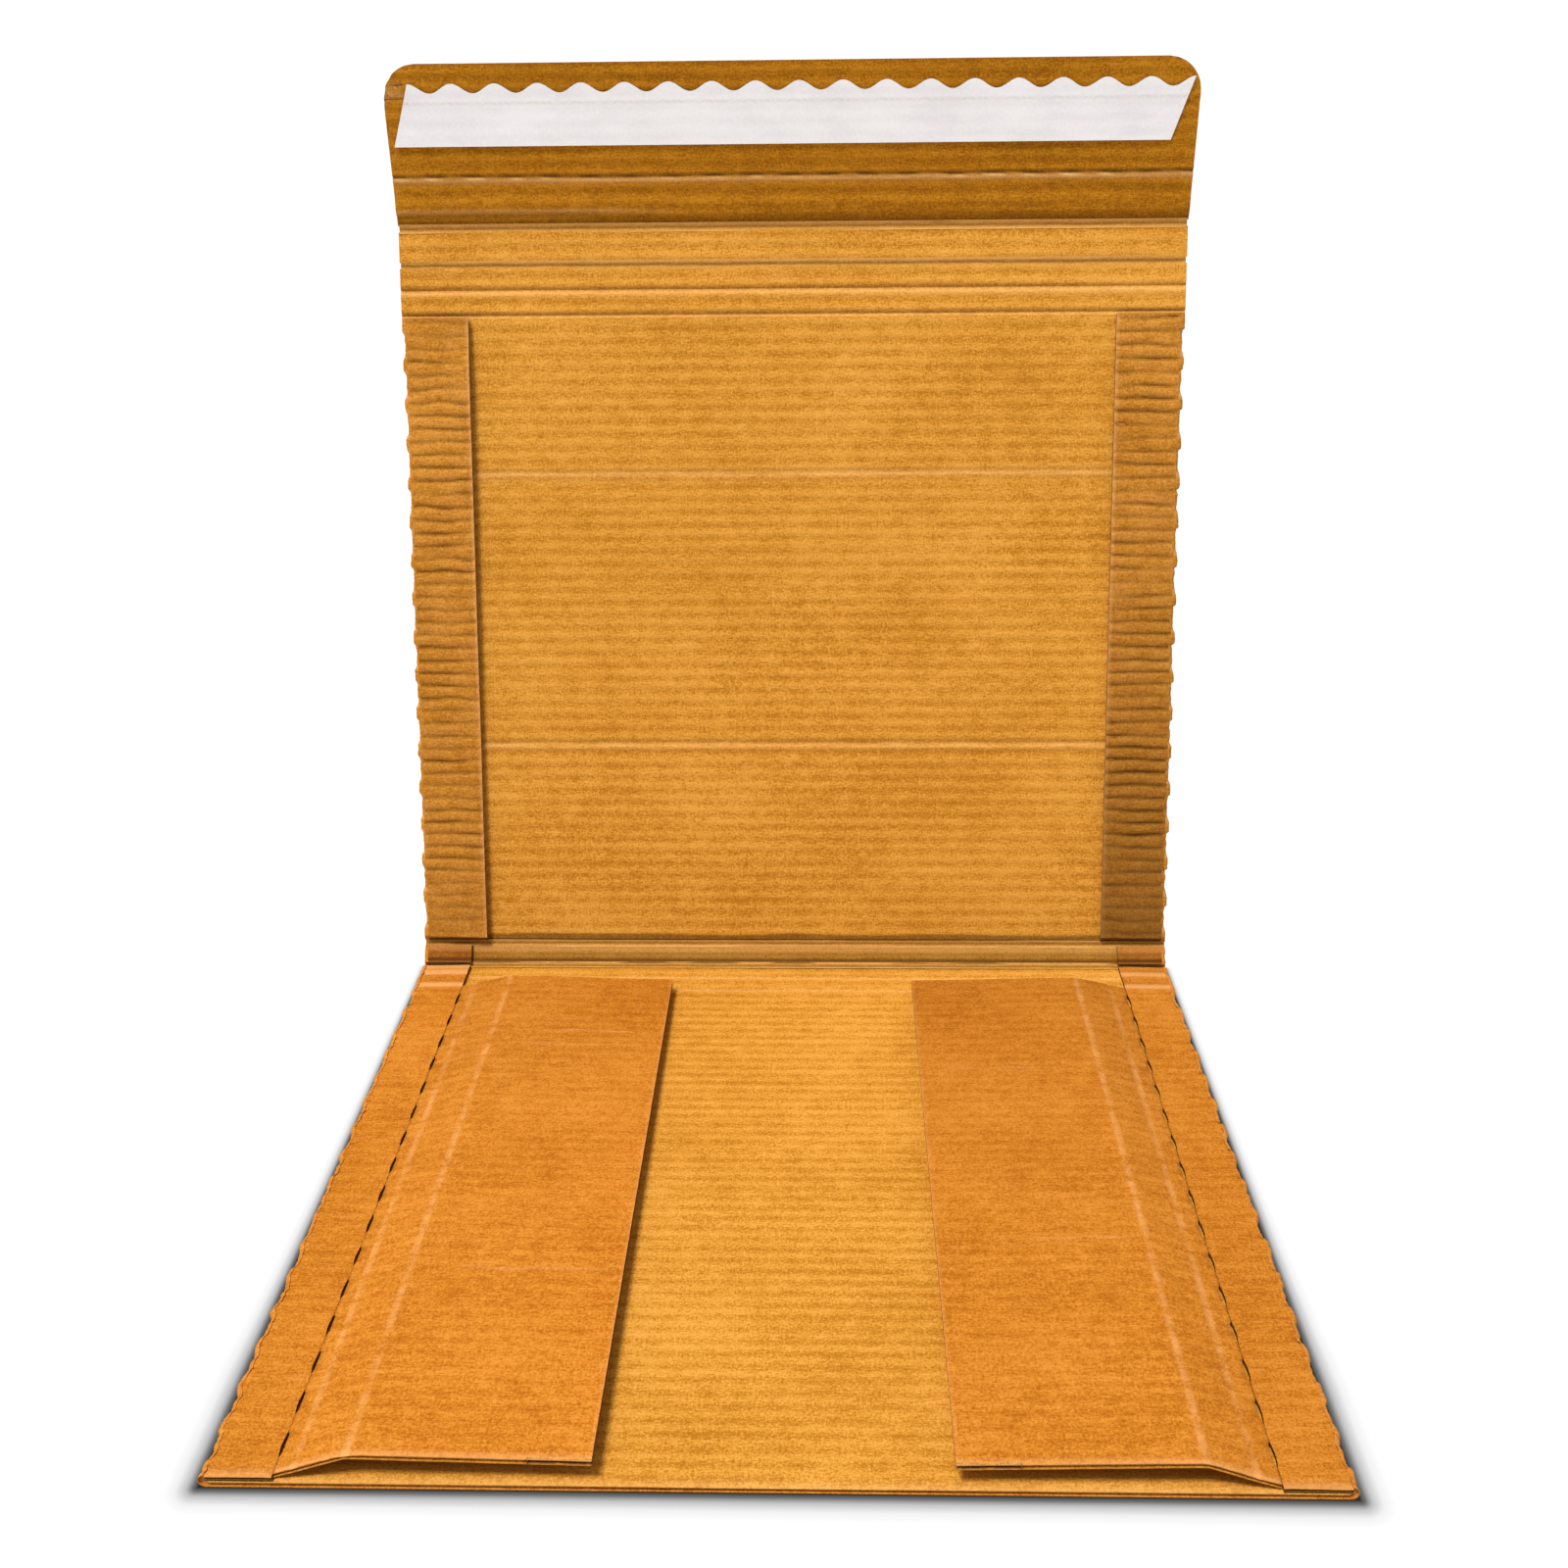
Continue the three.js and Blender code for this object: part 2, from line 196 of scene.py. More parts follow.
def slits(s, length):
    """As bites, but pointed at both ends like a slit that has been pulled open."""
    count = int((length - CUT_LENGTH) // PERFORATION) + 1
    first = (length - (count - 1) * PERFORATION) / 2
    near = np.clip(np.round((s - first) / PERFORATION), 0, count - 1)
    return np.clip(1 - ((s - first - near * PERFORATION) / (CUT_LENGTH * 0.62)) ** 2, 0, 1)


# Meshes

INNER, OUTER, EDGE, MEDIUM = range(4)


class Piece:
    """Collects vertices and faces, with the flat place on the board of each vertex."""

    def __init__(self, name, materials):
        self.name, self.materials = name, materials
        self.points, self.flat, self.pale, self.dark = [], [], [], []
        self.faces, self.slots, self.count = [], [], 0

    def add(self, points, faces, slots, flat, pale=0.0, dark=0.0):
        points = np.asarray(points).reshape(-1, 3)
        size = len(points)
        self.points.append(points)
        self.flat.append(np.broadcast_to(flat, (size, 3)) if np.ndim(flat) < 2 else flat)
        self.pale.append(np.broadcast_to(pale, size) if np.ndim(pale) == 0 else np.ravel(pale))
        self.dark.append(np.broadcast_to(dark, size) if np.ndim(dark) == 0 else np.ravel(dark))
        self.faces += [tuple(int(v) + self.count for v in face) for face in faces]
        self.slots += list(slots)
        self.count += size

    def build(self, crisp=40.0):
        mesh = bpy.data.meshes.new(self.name)
        mesh.from_pydata((np.concatenate(self.points) * MM).tolist(), [], self.faces)
        for material in self.materials:
            mesh.materials.append(material)
        mesh.polygons.foreach_set("material_index", self.slots)
        mesh.polygons.foreach_set("use_smooth", [True] * len(self.faces))
        for label, values in (("pale", self.pale), ("dark", self.dark)):
            layer = mesh.attributes.new(label, "FLOAT", "POINT")
            layer.data.foreach_set("value", np.concatenate(values).astype(np.float32))
        layer = mesh.attributes.new("board", "FLOAT_VECTOR", "POINT")
        layer.data.foreach_set("vector", np.concatenate(self.flat).astype(np.float32).ravel())
        mesh.set_sharp_from_angle(angle=math.radians(crisp))
        mesh.update()
        thing = bpy.data.objects.new(self.name, mesh)
        bpy.context.scene.collection.objects.link(thing)
        return thing


def skin(rows, columns, kinds):
    """Quads over a grid of rows, closed along each row, with a cap at either end."""
    i = np.arange(rows - 1)[:, None]
    j = np.arange(columns)[None, :]
    k = (j + 1) % columns
    quads = np.stack([i * columns + j, i * columns + k, (i + 1) * columns + k, (i + 1) * columns + j], -1)
    faces = [tuple(q) for q in quads.reshape(-1, 4)]
    slots = np.broadcast_to(np.asarray(kinds)[: j.size], (rows - 1, j.size)).ravel().tolist()
    faces.append(tuple(range(columns - 1, -1, -1)))
    faces.append(tuple((rows - 1) * columns + c for c in range(columns)))
    return faces, slots + [EDGE, EDGE]


def add_loft(piece, sheet, x, s, n, kinds, pale, dark, flat_x=None, flat_s=0.0):
    """A closed solid whose rows are loops of x and n, at s along the sheet."""
    rows, columns = x.shape
    s = np.broadcast_to(s, x.shape)
    points = sheet.world(x, s, n)
    faces, slots = skin(rows, columns, kinds)
    across = x if flat_x is None else np.broadcast_to(flat_x, x.shape)
    flat = np.stack([across, s + flat_s, n], -1).reshape(-1, 3)
    piece.add(points, faces, slots, flat, np.broadcast_to(pale, x.shape), np.broadcast_to(dark, x.shape))


def add_ribbon(piece, sheet, s0, s1, edge, inner, middle, rise, flat_s=0.0, press=None):
    """The fluted paper seen in a cut edge: a wave along s, reaching from edge(s) in to inner(s)."""
    steps = max(12, int((s1 - s0) / FLUTE_PITCH * 12))
    s = np.linspace(s0, s1, steps)
    crushed = 0 * s if press is None else np.clip(press(s), 0, 0.9)
    wave = rise * (1 - crushed) * np.sin(2 * np.pi * s / FLUTE_PITCH)
    thick = 0.16
    loop_s = np.concatenate([s, s[::-1]])
    lift = np.concatenate([wave + thick, (wave - thick)[::-1]])
    x = np.stack([edge(loop_s), (edge(loop_s) + inner(loop_s)) / 2, inner(loop_s)])
    n = np.stack([middle(loop_s, row) + lift for row in x])
    faces, slots = skin(3, len(loop_s), [MEDIUM] * len(loop_s))
    where = np.broadcast_to(loop_s, x.shape)
    flat = np.stack([x, where + flat_s, n], -1).reshape(-1, 3)
    piece.add(sheet.world(x, where, n), faces, [MEDIUM] * len(slots), flat)


# Cross-sections. Each is a list of (x, n, outward x, outward n, face kind, zone).

FACE, BACKSIDE, ROLL, TOP, INSIDE, UPPER = range(6)
CHANNEL_DEPTH = 12.0   # how far in a folded strip is open to its fluting


def folded_section(band, lifts, open_edges):
    """A sheet whose side edges are folded over onto its inner face."""
    core = HALF - BOARD
    section = [(x, -BOARD, 0, -1, OUTER, BACKSIDE) for x in np.linspace(-core, core, 44)]

    def side_loop(side, lift):
        loop = []
        for a in np.linspace(-math.pi / 2, math.pi / 2, 14)[1:-1]:
            loop.append((side * (core + BOARD * math.cos(a)), BOARD * math.sin(a),
                         side * math.cos(a), math.sin(a), OUTER, ROLL))
        edge = HALF - band + FOLD_GAP / 2
        for t in np.linspace(0, 1, 16):
            loop.append((side * (core + (edge - core) * t), BOARD + lift * t, 0, 1, OUTER, TOP))
        top, low = BOARD + lift, LAYER_GAP + lift
        inward, drop = side * CHANNEL_DEPTH, lift * CHANNEL_DEPTH / (core - edge)
        if open_edges:
            loop.append((side * edge, top - LINER, -side, 0, EDGE, UPPER))
            loop.append((side * edge + inward, top - LINER - drop, -side, 0, MEDIUM, UPPER))
            loop.append((side * edge + inward, low + LINER - drop, -side, 0, MEDIUM, INSIDE))
            loop.append((side * edge, low + LINER, -side, 0, EDGE, INSIDE))
        else:
            loop.append((side * edge, (top + low) / 2, -side, 0, EDGE, INSIDE))
        for t in np.linspace(0, 1, 5):
            loop.append((side * (edge + (core - 1.5 - edge) * t), low - lift * t, 0, -1, INNER, INSIDE))
        loop.append((side * core, LAYER_GAP / 2, -side, 0, INNER, INSIDE))
        return loop

    right, left = side_loop(1, lifts[1]), side_loop(-1, lifts[0])
    section += right
    section += [(x, 0, 0, 1, INNER, FACE) for x in np.linspace(core - 1.5, 1.5 - core, 84)]
    section += left[::-1]
    return [np.array(column) for column in zip(*section)]


def rows_for(length, step=1.2):
    return np.linspace(0, length, int(round(length / step)) + 1)


def spread(section, s):
    """Each column of a section, repeated for the rows at s."""
    return [np.repeat(values[None, :], len(s), 0) for values in section]


def groove_ends(x, s, n, out_x, out_n, depth, inset, where):
    """Adds two rows at each end of a loft, so that a cut edge shows its two papers apart."""
    shift = np.where(where, inset, 0.0)

    def ring(row, toward):
        return x[row] - out_x * shift, s[row] + toward * (shift > 0), n[row] - out_n * shift

    parts = [ring(0, depth), ring(0, 0.0), (x, s, n), ring(-1, 0.0), ring(-1, -depth)]
    return [np.vstack(part) for part in zip(*parts)]


def padded_rows(values):
    """Values for the rows that groove_ends adds."""
    return np.vstack([values[:1], values[:1], values, values[-1:], values[-1:]])


def add_grooved(piece, sheet, x, s, n, outward, kinds, pale, dark, depth=1.2, inset=0.3, where=True, **flat):
    """A loft whose cut ends show their two papers apart."""
    gx, gs, gn = groove_ends(x, np.broadcast_to(s, x.shape), n, *outward, depth, inset, where)
    add_loft(piece, sheet, gx, gs, gn, kinds, padded_rows(pale + 0 * x), padded_rows(dark + 0 * x), **flat)


# Materials


class Nodes:
    """A short way to write a node tree."""

    def __init__(self, name):
        self.material = bpy.data.materials.new(name)
        self.material.use_nodes = True
        self.tree = self.material.node_tree
        self.tree.nodes.clear()
        self.out = self.make("ShaderNodeOutputMaterial")
        self.shader = self.make("ShaderNodeBsdfPrincipled")
        self.link(self.shader.outputs[0], self.out.inputs[0])

    def make(self, kind, **values):
        node = self.tree.nodes.new(kind)
        for key, value in values.items():
            setattr(node, key, value)
        return node

    def link(self, a, b):
        self.tree.links.new(a, b)

    def put(self, socket, value):
        if isinstance(value, bpy.types.NodeSocket):
            self.link(value, socket)
        else:
            socket.default_value = value

    def attribute(self, name, output):
        return self.make("ShaderNodeAttribute", attribute_name=name).outputs[output]

    def math(self, operation, a, b=0.0, clamp=False):
        node = self.make("ShaderNodeMath", operation=operation, use_clamp=clamp)
        self.put(node.inputs[0], a)
        self.put(node.inputs[1], b)
        return node.outputs[0]

    def noise(self, vector, scale, shift=(0, 0, 0), detail=3.0, roughness=0.6):
        """Noise over a vector that is scaled and shifted first."""
        place = self.make("ShaderNodeMapping")
        self.link(vector, place.inputs["Vector"])
        place.inputs["Scale"].default_value = scale
        place.inputs["Location"].default_value = shift
        node = self.make("ShaderNodeTexNoise")
        self.link(place.outputs[0], node.inputs["Vector"])
        node.inputs["Scale"].default_value = 1.0
        node.inputs["Detail"].default_value = detail
        node.inputs["Roughness"].default_value = roughness
        return node.outputs[0]

    def total(self, *terms):
        """The sum of (value - centre) * weight over the terms."""
        parts = [self.math("MULTIPLY", self.math("SUBTRACT", value, centre) if centre else value, weight)
                 for value, centre, weight in terms]
        result = parts[0]
        for part in parts[1:]:
            result = self.math("ADD", result, part)
        return result

    def split(self, vector):
        node = self.make("ShaderNodeSeparateXYZ")
        self.link(vector, node.inputs[0])
        return node.outputs

    def flutes(self, vector):
        """A wave over the board, one period to each flute."""
        return self.math("COSINE", self.math("MULTIPLY", self.split(vector)[1], 2 * math.pi / FLUTE_PITCH))

    def ramp(self, value, *stops):
        node = self.make("ShaderNodeValToRGB")
        self.link(value, node.inputs[0])
        ramp = node.color_ramp
        while len(ramp.elements) < len(stops):
            ramp.elements.new(0.5)
        for element, (place, colour) in zip(ramp.elements, stops):
            element.position = place
            element.color = (*colour, 1)
        return node.outputs[0]

    def mix(self, factor, a, b):
        node = self.make("ShaderNodeMix", data_type="RGBA")
        self.put(node.inputs[0], factor)
        for socket, value in ((node.inputs[6], a), (node.inputs[7], b)):
            self.put(socket, (*value, 1) if isinstance(value, tuple) else value)
        return node.outputs[2]

    def bump(self, height, strength, distance, normal=None):
        node = self.make("ShaderNodeBump")
        node.inputs["Strength"].default_value = strength
        node.inputs["Distance"].default_value = distance
        self.link(height, node.inputs["Height"])
        if normal is not None:
            self.link(normal, node.inputs["Normal"])
        return node.outputs[0]


SHADE = 0.16          # brightness of the painted shade, as a share of the paper's deep colour


def kraft(name, deep, mid, light, pale, banding, slot):
    """Brown board paper: long fibres, flecks and mottling, with faint painted light and shade banded over the
    flutes.
    """
    m = Nodes(name)
    board = m.attribute("board", "Vector")
    grain = m.noise(board, (0.8, 0.8, 0.8), (0, 0, 0), 3.0, 0.75)
    fibre = m.noise(board, (0.16, 1.3, 0.3), (7, 3, 0), 3.0, 0.65)
    cross = m.noise(board, (1.1, 0.2, 0.3), (31, 11, 0), 2.0, 0.6)
    mottle = m.noise(board, (0.09, 0.13, 0.1), (13, 5, 2), 3.0, 0.6)
    cloud = m.noise(board, (0.012, 0.015, 0.02), (3, 17, 9), 2.0, 0.5)
    speck = m.noise(board, (1.9, 1.9, 1.9), (5, 41, 8), 2.0, 0.6)
    streak = m.noise(board, (0.010, 0.09, 0.1), (61, 29, 0), 2.0, 0.5)
    tone = m.total((grain, 0, 0.54), (fibre, 0, 0.26), (cross, 0, 0.12), (mottle, 0.265, 0.17),
                   (speck, 0.5, 0.30), (m.math("MULTIPLY", m.flutes(board), streak), 0, 2 * banding),
                   (cloud, 0.5, 0.15))
    colour = m.ramp(tone, (0.405, deep), (0.50, mid), (0.60, light))
    fleck = m.noise(board, (0.35, 0.9, 0.6), (51, 23, 4), 2.0, 0.5)
    flecked = m.math("MULTIPLY", m.math("SUBTRACT", fleck, 0.68, True), 3.0, True)
    colour = m.mix(flecked, colour, deep)
    # The pale attribute lightens rubbed, creased and torn paper and adds painted highlights.
    rub_and_highlight = m.math("ADD", m.math("MULTIPLY", grain, 0.8), 0.5)
    colour = m.mix(m.math("MULTIPLY", m.attribute("pale", "Fac"), rub_and_highlight, True), colour, pale)
    # The dark attribute mixes in painted shade.
    shade = tuple(SHADE * channel for channel in deep)
    colour = m.mix(m.attribute("dark", "Fac"), colour, shade)
    m.link(colour, m.shader.inputs["Base Color"])
    m.shader.inputs["Roughness"].default_value = 0.86
    m.shader.inputs["Specular IOR Level"].default_value = 0.10
    fine = m.bump(grain, 0.35, 0.00012)
    m.link(m.bump(fibre, 0.30, 0.00018, fine), m.shader.inputs["Normal"])
    m.material["slot"] = slot
    return m.material


def white_paper(name):
    """Thin coated paper, in which the flutes and the tape's edge show faintly."""
    m = Nodes(name)
    board = m.attribute("board", "Vector")
    cloud = m.noise(board, (0.03, 0.06, 0.1), (0, 0, 0), 3.0, 0.6)
    grain = m.noise(board, (0.6, 0.6, 0.6), (0, 0, 0), 3.0, 0.6)
    streak = m.noise(board, (0.05, 0.5, 0.1), (9, 2, 0), 2.0, 0.5)
    tone = m.total((cloud, 0, 0.6), (grain, 0, 0.4), (m.math("MULTIPLY", m.flutes(board), streak), 0, 0.09))
    colour = m.ramp(tone, (0.35, (0.66, 0.645, 0.65)), (0.6, (0.74, 0.725, 0.73)))
    colour = m.mix(m.attribute("dark", "Fac"), colour, (0.50, 0.44, 0.40))
    m.link(colour, m.shader.inputs["Base Color"])
    m.shader.inputs["Roughness"].default_value = 0.5
    m.link(m.bump(cloud, 0.4, 0.0006), m.shader.inputs["Normal"])
    return m.material


def tape(name):
    m = Nodes(name)
    board = m.attribute("board", "Vector")
    cloud = m.noise(board, (0.1, 0.3, 0.1), (0, 0, 0), 3.0, 0.6)
    m.link(m.ramp(cloud, (0.3, (0.55, 0.42, 0.24)), (0.7, (0.66, 0.52, 0.32))), m.shader.inputs["Base Color"])
    m.shader.inputs["Roughness"].default_value = 0.3
    return m.material


INNER_KRAFT = kraft("kraft_inner", (0.33, 0.118, 0.006), (0.475, 0.203, 0.020), (0.59, 0.280, 0.048),
                    (0.70, 0.37, 0.12), 0.030, "kraft_inner")
WING_KRAFT = kraft("kraft_wing", (0.32, 0.088, 0.003), (0.455, 0.154, 0.010), (0.56, 0.214, 0.029),
                   (0.66, 0.31, 0.10), 0.016, "kraft_wing")
# The flap's inner face: the inner kraft darkened with painted shade.
SHADED_FLAP_KRAFT = kraft("kraft_flap", (0.215, 0.072, 0.001), (0.330, 0.122, 0.002), (0.43, 0.175, 0.010),
                   (0.64, 0.35, 0.12), 0.030, "kraft_inner")
OUTER_KRAFT = kraft("kraft_outer", (0.27, 0.092, 0.004), (0.405, 0.158, 0.012), (0.52, 0.222, 0.032),
                    (0.62, 0.31, 0.11), 0.012, "kraft_inner")
EDGE_KRAFT = kraft("kraft_edge", (0.27, 0.10, 0.02), (0.42, 0.18, 0.04), (0.55, 0.27, 0.08),
                   (0.68, 0.38, 0.14), 0.0, "kraft_inner")
# The fluting paper: its own darker brown, darkened further with painted shade for the inside of the open
# flutes.
CORE_KRAFT = kraft("kraft_core", (0.13, 0.045, 0.008), (0.22, 0.085, 0.018), (0.32, 0.14, 0.035),
                   (0.5, 0.26, 0.09), 0.0, "kraft_inner")
LINER_WHITE = white_paper("liner_white")
TAPE_FILM = tape("tape_film")

# The base and its bands


def base_piece():
    x0, n0, ox, on, kinds, zone = folded_section(BAND, (0.0, 0.0), False)
    s = rows_for(BASE_DEPTH - PANEL_INSET)[:, None]
    x, n = spread((x0, n0), s)
    face, top, roll, inside = (zone == z for z in (FACE, TOP, ROLL, INSIDE))
    side = np.sign(x0)
    wave = 0.11 * ripple(s) * (1 + 0.5 * wobble(x / 60, s / 30, 11))
    crease_lines = (BASE_LENGTH, BASE_LENGTH + DEPTH_STEP)
    press = sum(bump(s, line, 1.3) for line in crease_lines)
    shoulder = sum(bump(s, line - 3.2, 1.6) + bump(s, line + 3.2, 1.6) for line in crease_lines)
    waver = 0.18 * wobble(x / 90, s / 70, 12)
    inner = wave + waver - 0.55 * press + 0.15 * shoulder
    n += np.where(face, inner, 0)
    band_wave = 0.17 * ripple(s) * (1 + 0.6 * wobble(x / 14, s / 20, 13))
    dent = 0.25 * wobble(x / 18, s / 26, 14) + 0.12 * wobble(x / 6, s / 9, 15) - 0.45
    n += np.where(top, band_wave + dent - 0.5 * press + 0.1 * shoulder, 0)
    # The bands' ends stop short of the back fold, and the front edge is crushed.
    crush = 1 - ease(s / 5.5)
    n -= np.where(face, 0.55 * crush, 0)
    n = np.where(top, np.maximum(n - 0.6 * crush, LAYER_GAP + 1.4), n)
    past = ease((s - (BASE_DEPTH - BAND_TRIM - 0.6)) / 0.8)
    level = np.where(top | roll | inside, np.minimum(n, 0.02), n)
    n = n * (1 - past) + level * past
    # Perforated side folds: smooth waves on the left, torn steps on the right.
    cut_left = bites(s, BASE_LENGTH, 5.0, 4.0)
    cut_right = bites(s, BASE_LENGTH, 1.2, 6.0)
    tooth = 0.85 + 0.35 * wobble(s / PERFORATION, side * 9, 20)
    depth = np.where(side < 0, cut_left, cut_right) * SCALLOP * tooth
    ragged = 0.50 * wobble(s / 3.1, side * 4, 16) + 0.55 * np.abs(wobble(s / 1.2, side * 7, 17))
    x -= np.where(roll, side * np.maximum(depth + ragged + 0.2, LEAST_INSET), 0)
    # The band's free edge is notched where the wing's fold is cut.
    notch = 0.6 * slits(s - 1.5, BASE_LENGTH - 3.0)
    free_edge = (top | inside) & (np.abs(x0) < WING_HINGE + 0.5)
    x += np.where(free_edge, side * notch, 0)
    pale = np.where(face, 0.30 * crush + 0.45 * press, 0.0)
    band_press = sum(bump(s, line + 1.0, 2.4) for line in crease_lines)
    pale = pale + np.where(top, 0.6 * crush + 0.85 * band_press, 0.0)
    pale = pale + np.where(top & (side < 0), 0.65 * ease((s - BASE_LENGTH - DEPTH_STEP - 2) / 2), 0.0)
    pale = pale + np.where(roll & (ox * side < 0.95), 0.12, 0)
    # Painted shade: under the folded bands, over the right band more than the left, and in a line just past
    # each crease on the bands.
    dark = np.where(inside, 0.85, 0.0) + np.where(top, np.where(side > 0, 0.15, 0.06), 0)
    dark = dark + np.where(top, 0.30 * sum(bump(s, line + 4.6, 0.9) for line in crease_lines), 0)
    flat_x = np.where(top, 2 * side * HALF - x0, x0)[None, :]
    piece = Piece("base_board", [INNER_KRAFT, WING_KRAFT, EDGE_KRAFT, CORE_KRAFT])
    add_grooved(piece, BASE, x, s, n, (ox, on), kinds, pale, dark, flat_x=flat_x)
    return piece


LID_CREASES = (LID_LENGTH, LID_LENGTH + DEPTH_STEP)
STRIP_END = LID_LENGTH - 1.5


def pressed(s, lines, width=1.2):
    return sum(bump(s, line, width) for line in lines) + 0 * s


def lid_relief(x, s):
    """Relief of the lid's inner face: flutes, two scored ridges, and the depth creases."""
    ridges = sum(bump(s, line + 0.5 * wobble(x / 70, line + 0 * s, 20), 1.6) for line in LID_RIDGES)
    dips = sum(bump(s, line - 3.4, 1.8) for line in LID_RIDGES)
    deep = ease((s - LID_LENGTH + 4) / 3)
    wave = (0.17 + 0.07 * deep) * ripple(s, 0.9) * (1 + 0.5 * wobble(x / 60, s / 30, 21))
    wave = wave + deep * (0.20 * wobble(x / 75, s / 3.2, 15) + 0.07 * wobble(x / 25, s / 2.0, 10))
    waver = 0.35 * wobble(x / 110, s / 80, 22) * (1 - deep) + 0.10 * wobble(x / 25, s / 14, 23)
    shoulder = pressed(s, [line - 3.0 for line in LID_CREASES] + [line + 3.0 for line in LID_CREASES], 1.8)
    return wave + waver + 0.42 * ridges - 0.24 * dips - 0.80 * pressed(s, LID_CREASES, 0.9) + 0.22 * shoulder


def strip_wrinkle(x, s, side):
    """The folded strips are wrinkled once to each flute, more in some places than in others."""
    reach = np.clip((HALF - np.abs(x)) / 5, 0, 1) * np.clip((np.abs(x) - (HALF - LID_STRIP) + 2) / 5, 0.35, 1)
    uneven = np.clip(0.85 + 0.55 * wobble(x / 20 + 5 * side, s / 9, 24), 0.25, 1.5)
    line = s + 0.9 * wobble(x / 13, s / 11 + 3 * side, 25)
    phase = line / FLUTE_PITCH
    valley = np.exp(-((phase - np.round(phase)) * FLUTE_PITCH / 1.05) ** 2)
    swell = 0.5 + 0.5 * np.cos(2 * np.pi * (phase - 0.5))
    uneven = uneven * (0.45 + 0.55 * ease((s - 12) / 55))
    return (-0.78 * valley + 0.26 * swell) * uneven * reach, valley * uneven * reach


def strip_spring(x, s):
    """The lid's left strip springs up more in its middle than at its ends."""
    lift = 0.25 * wobble(s / 60, 3, 27)
    lift = lift - 1.5 * ease((s - STRIP_END + 30) / 30) - 0.5 * (1 - ease(s / 40))
    return lift * np.clip((HALF - BOARD - np.abs(x)) / (LID_STRIP - BOARD), 0, 1)


def strip_sag(x, s):
    return 0.40 * wobble(x / 16, s / 45, 26) * np.clip((HALF - np.abs(x)) / 10, 0, 1)


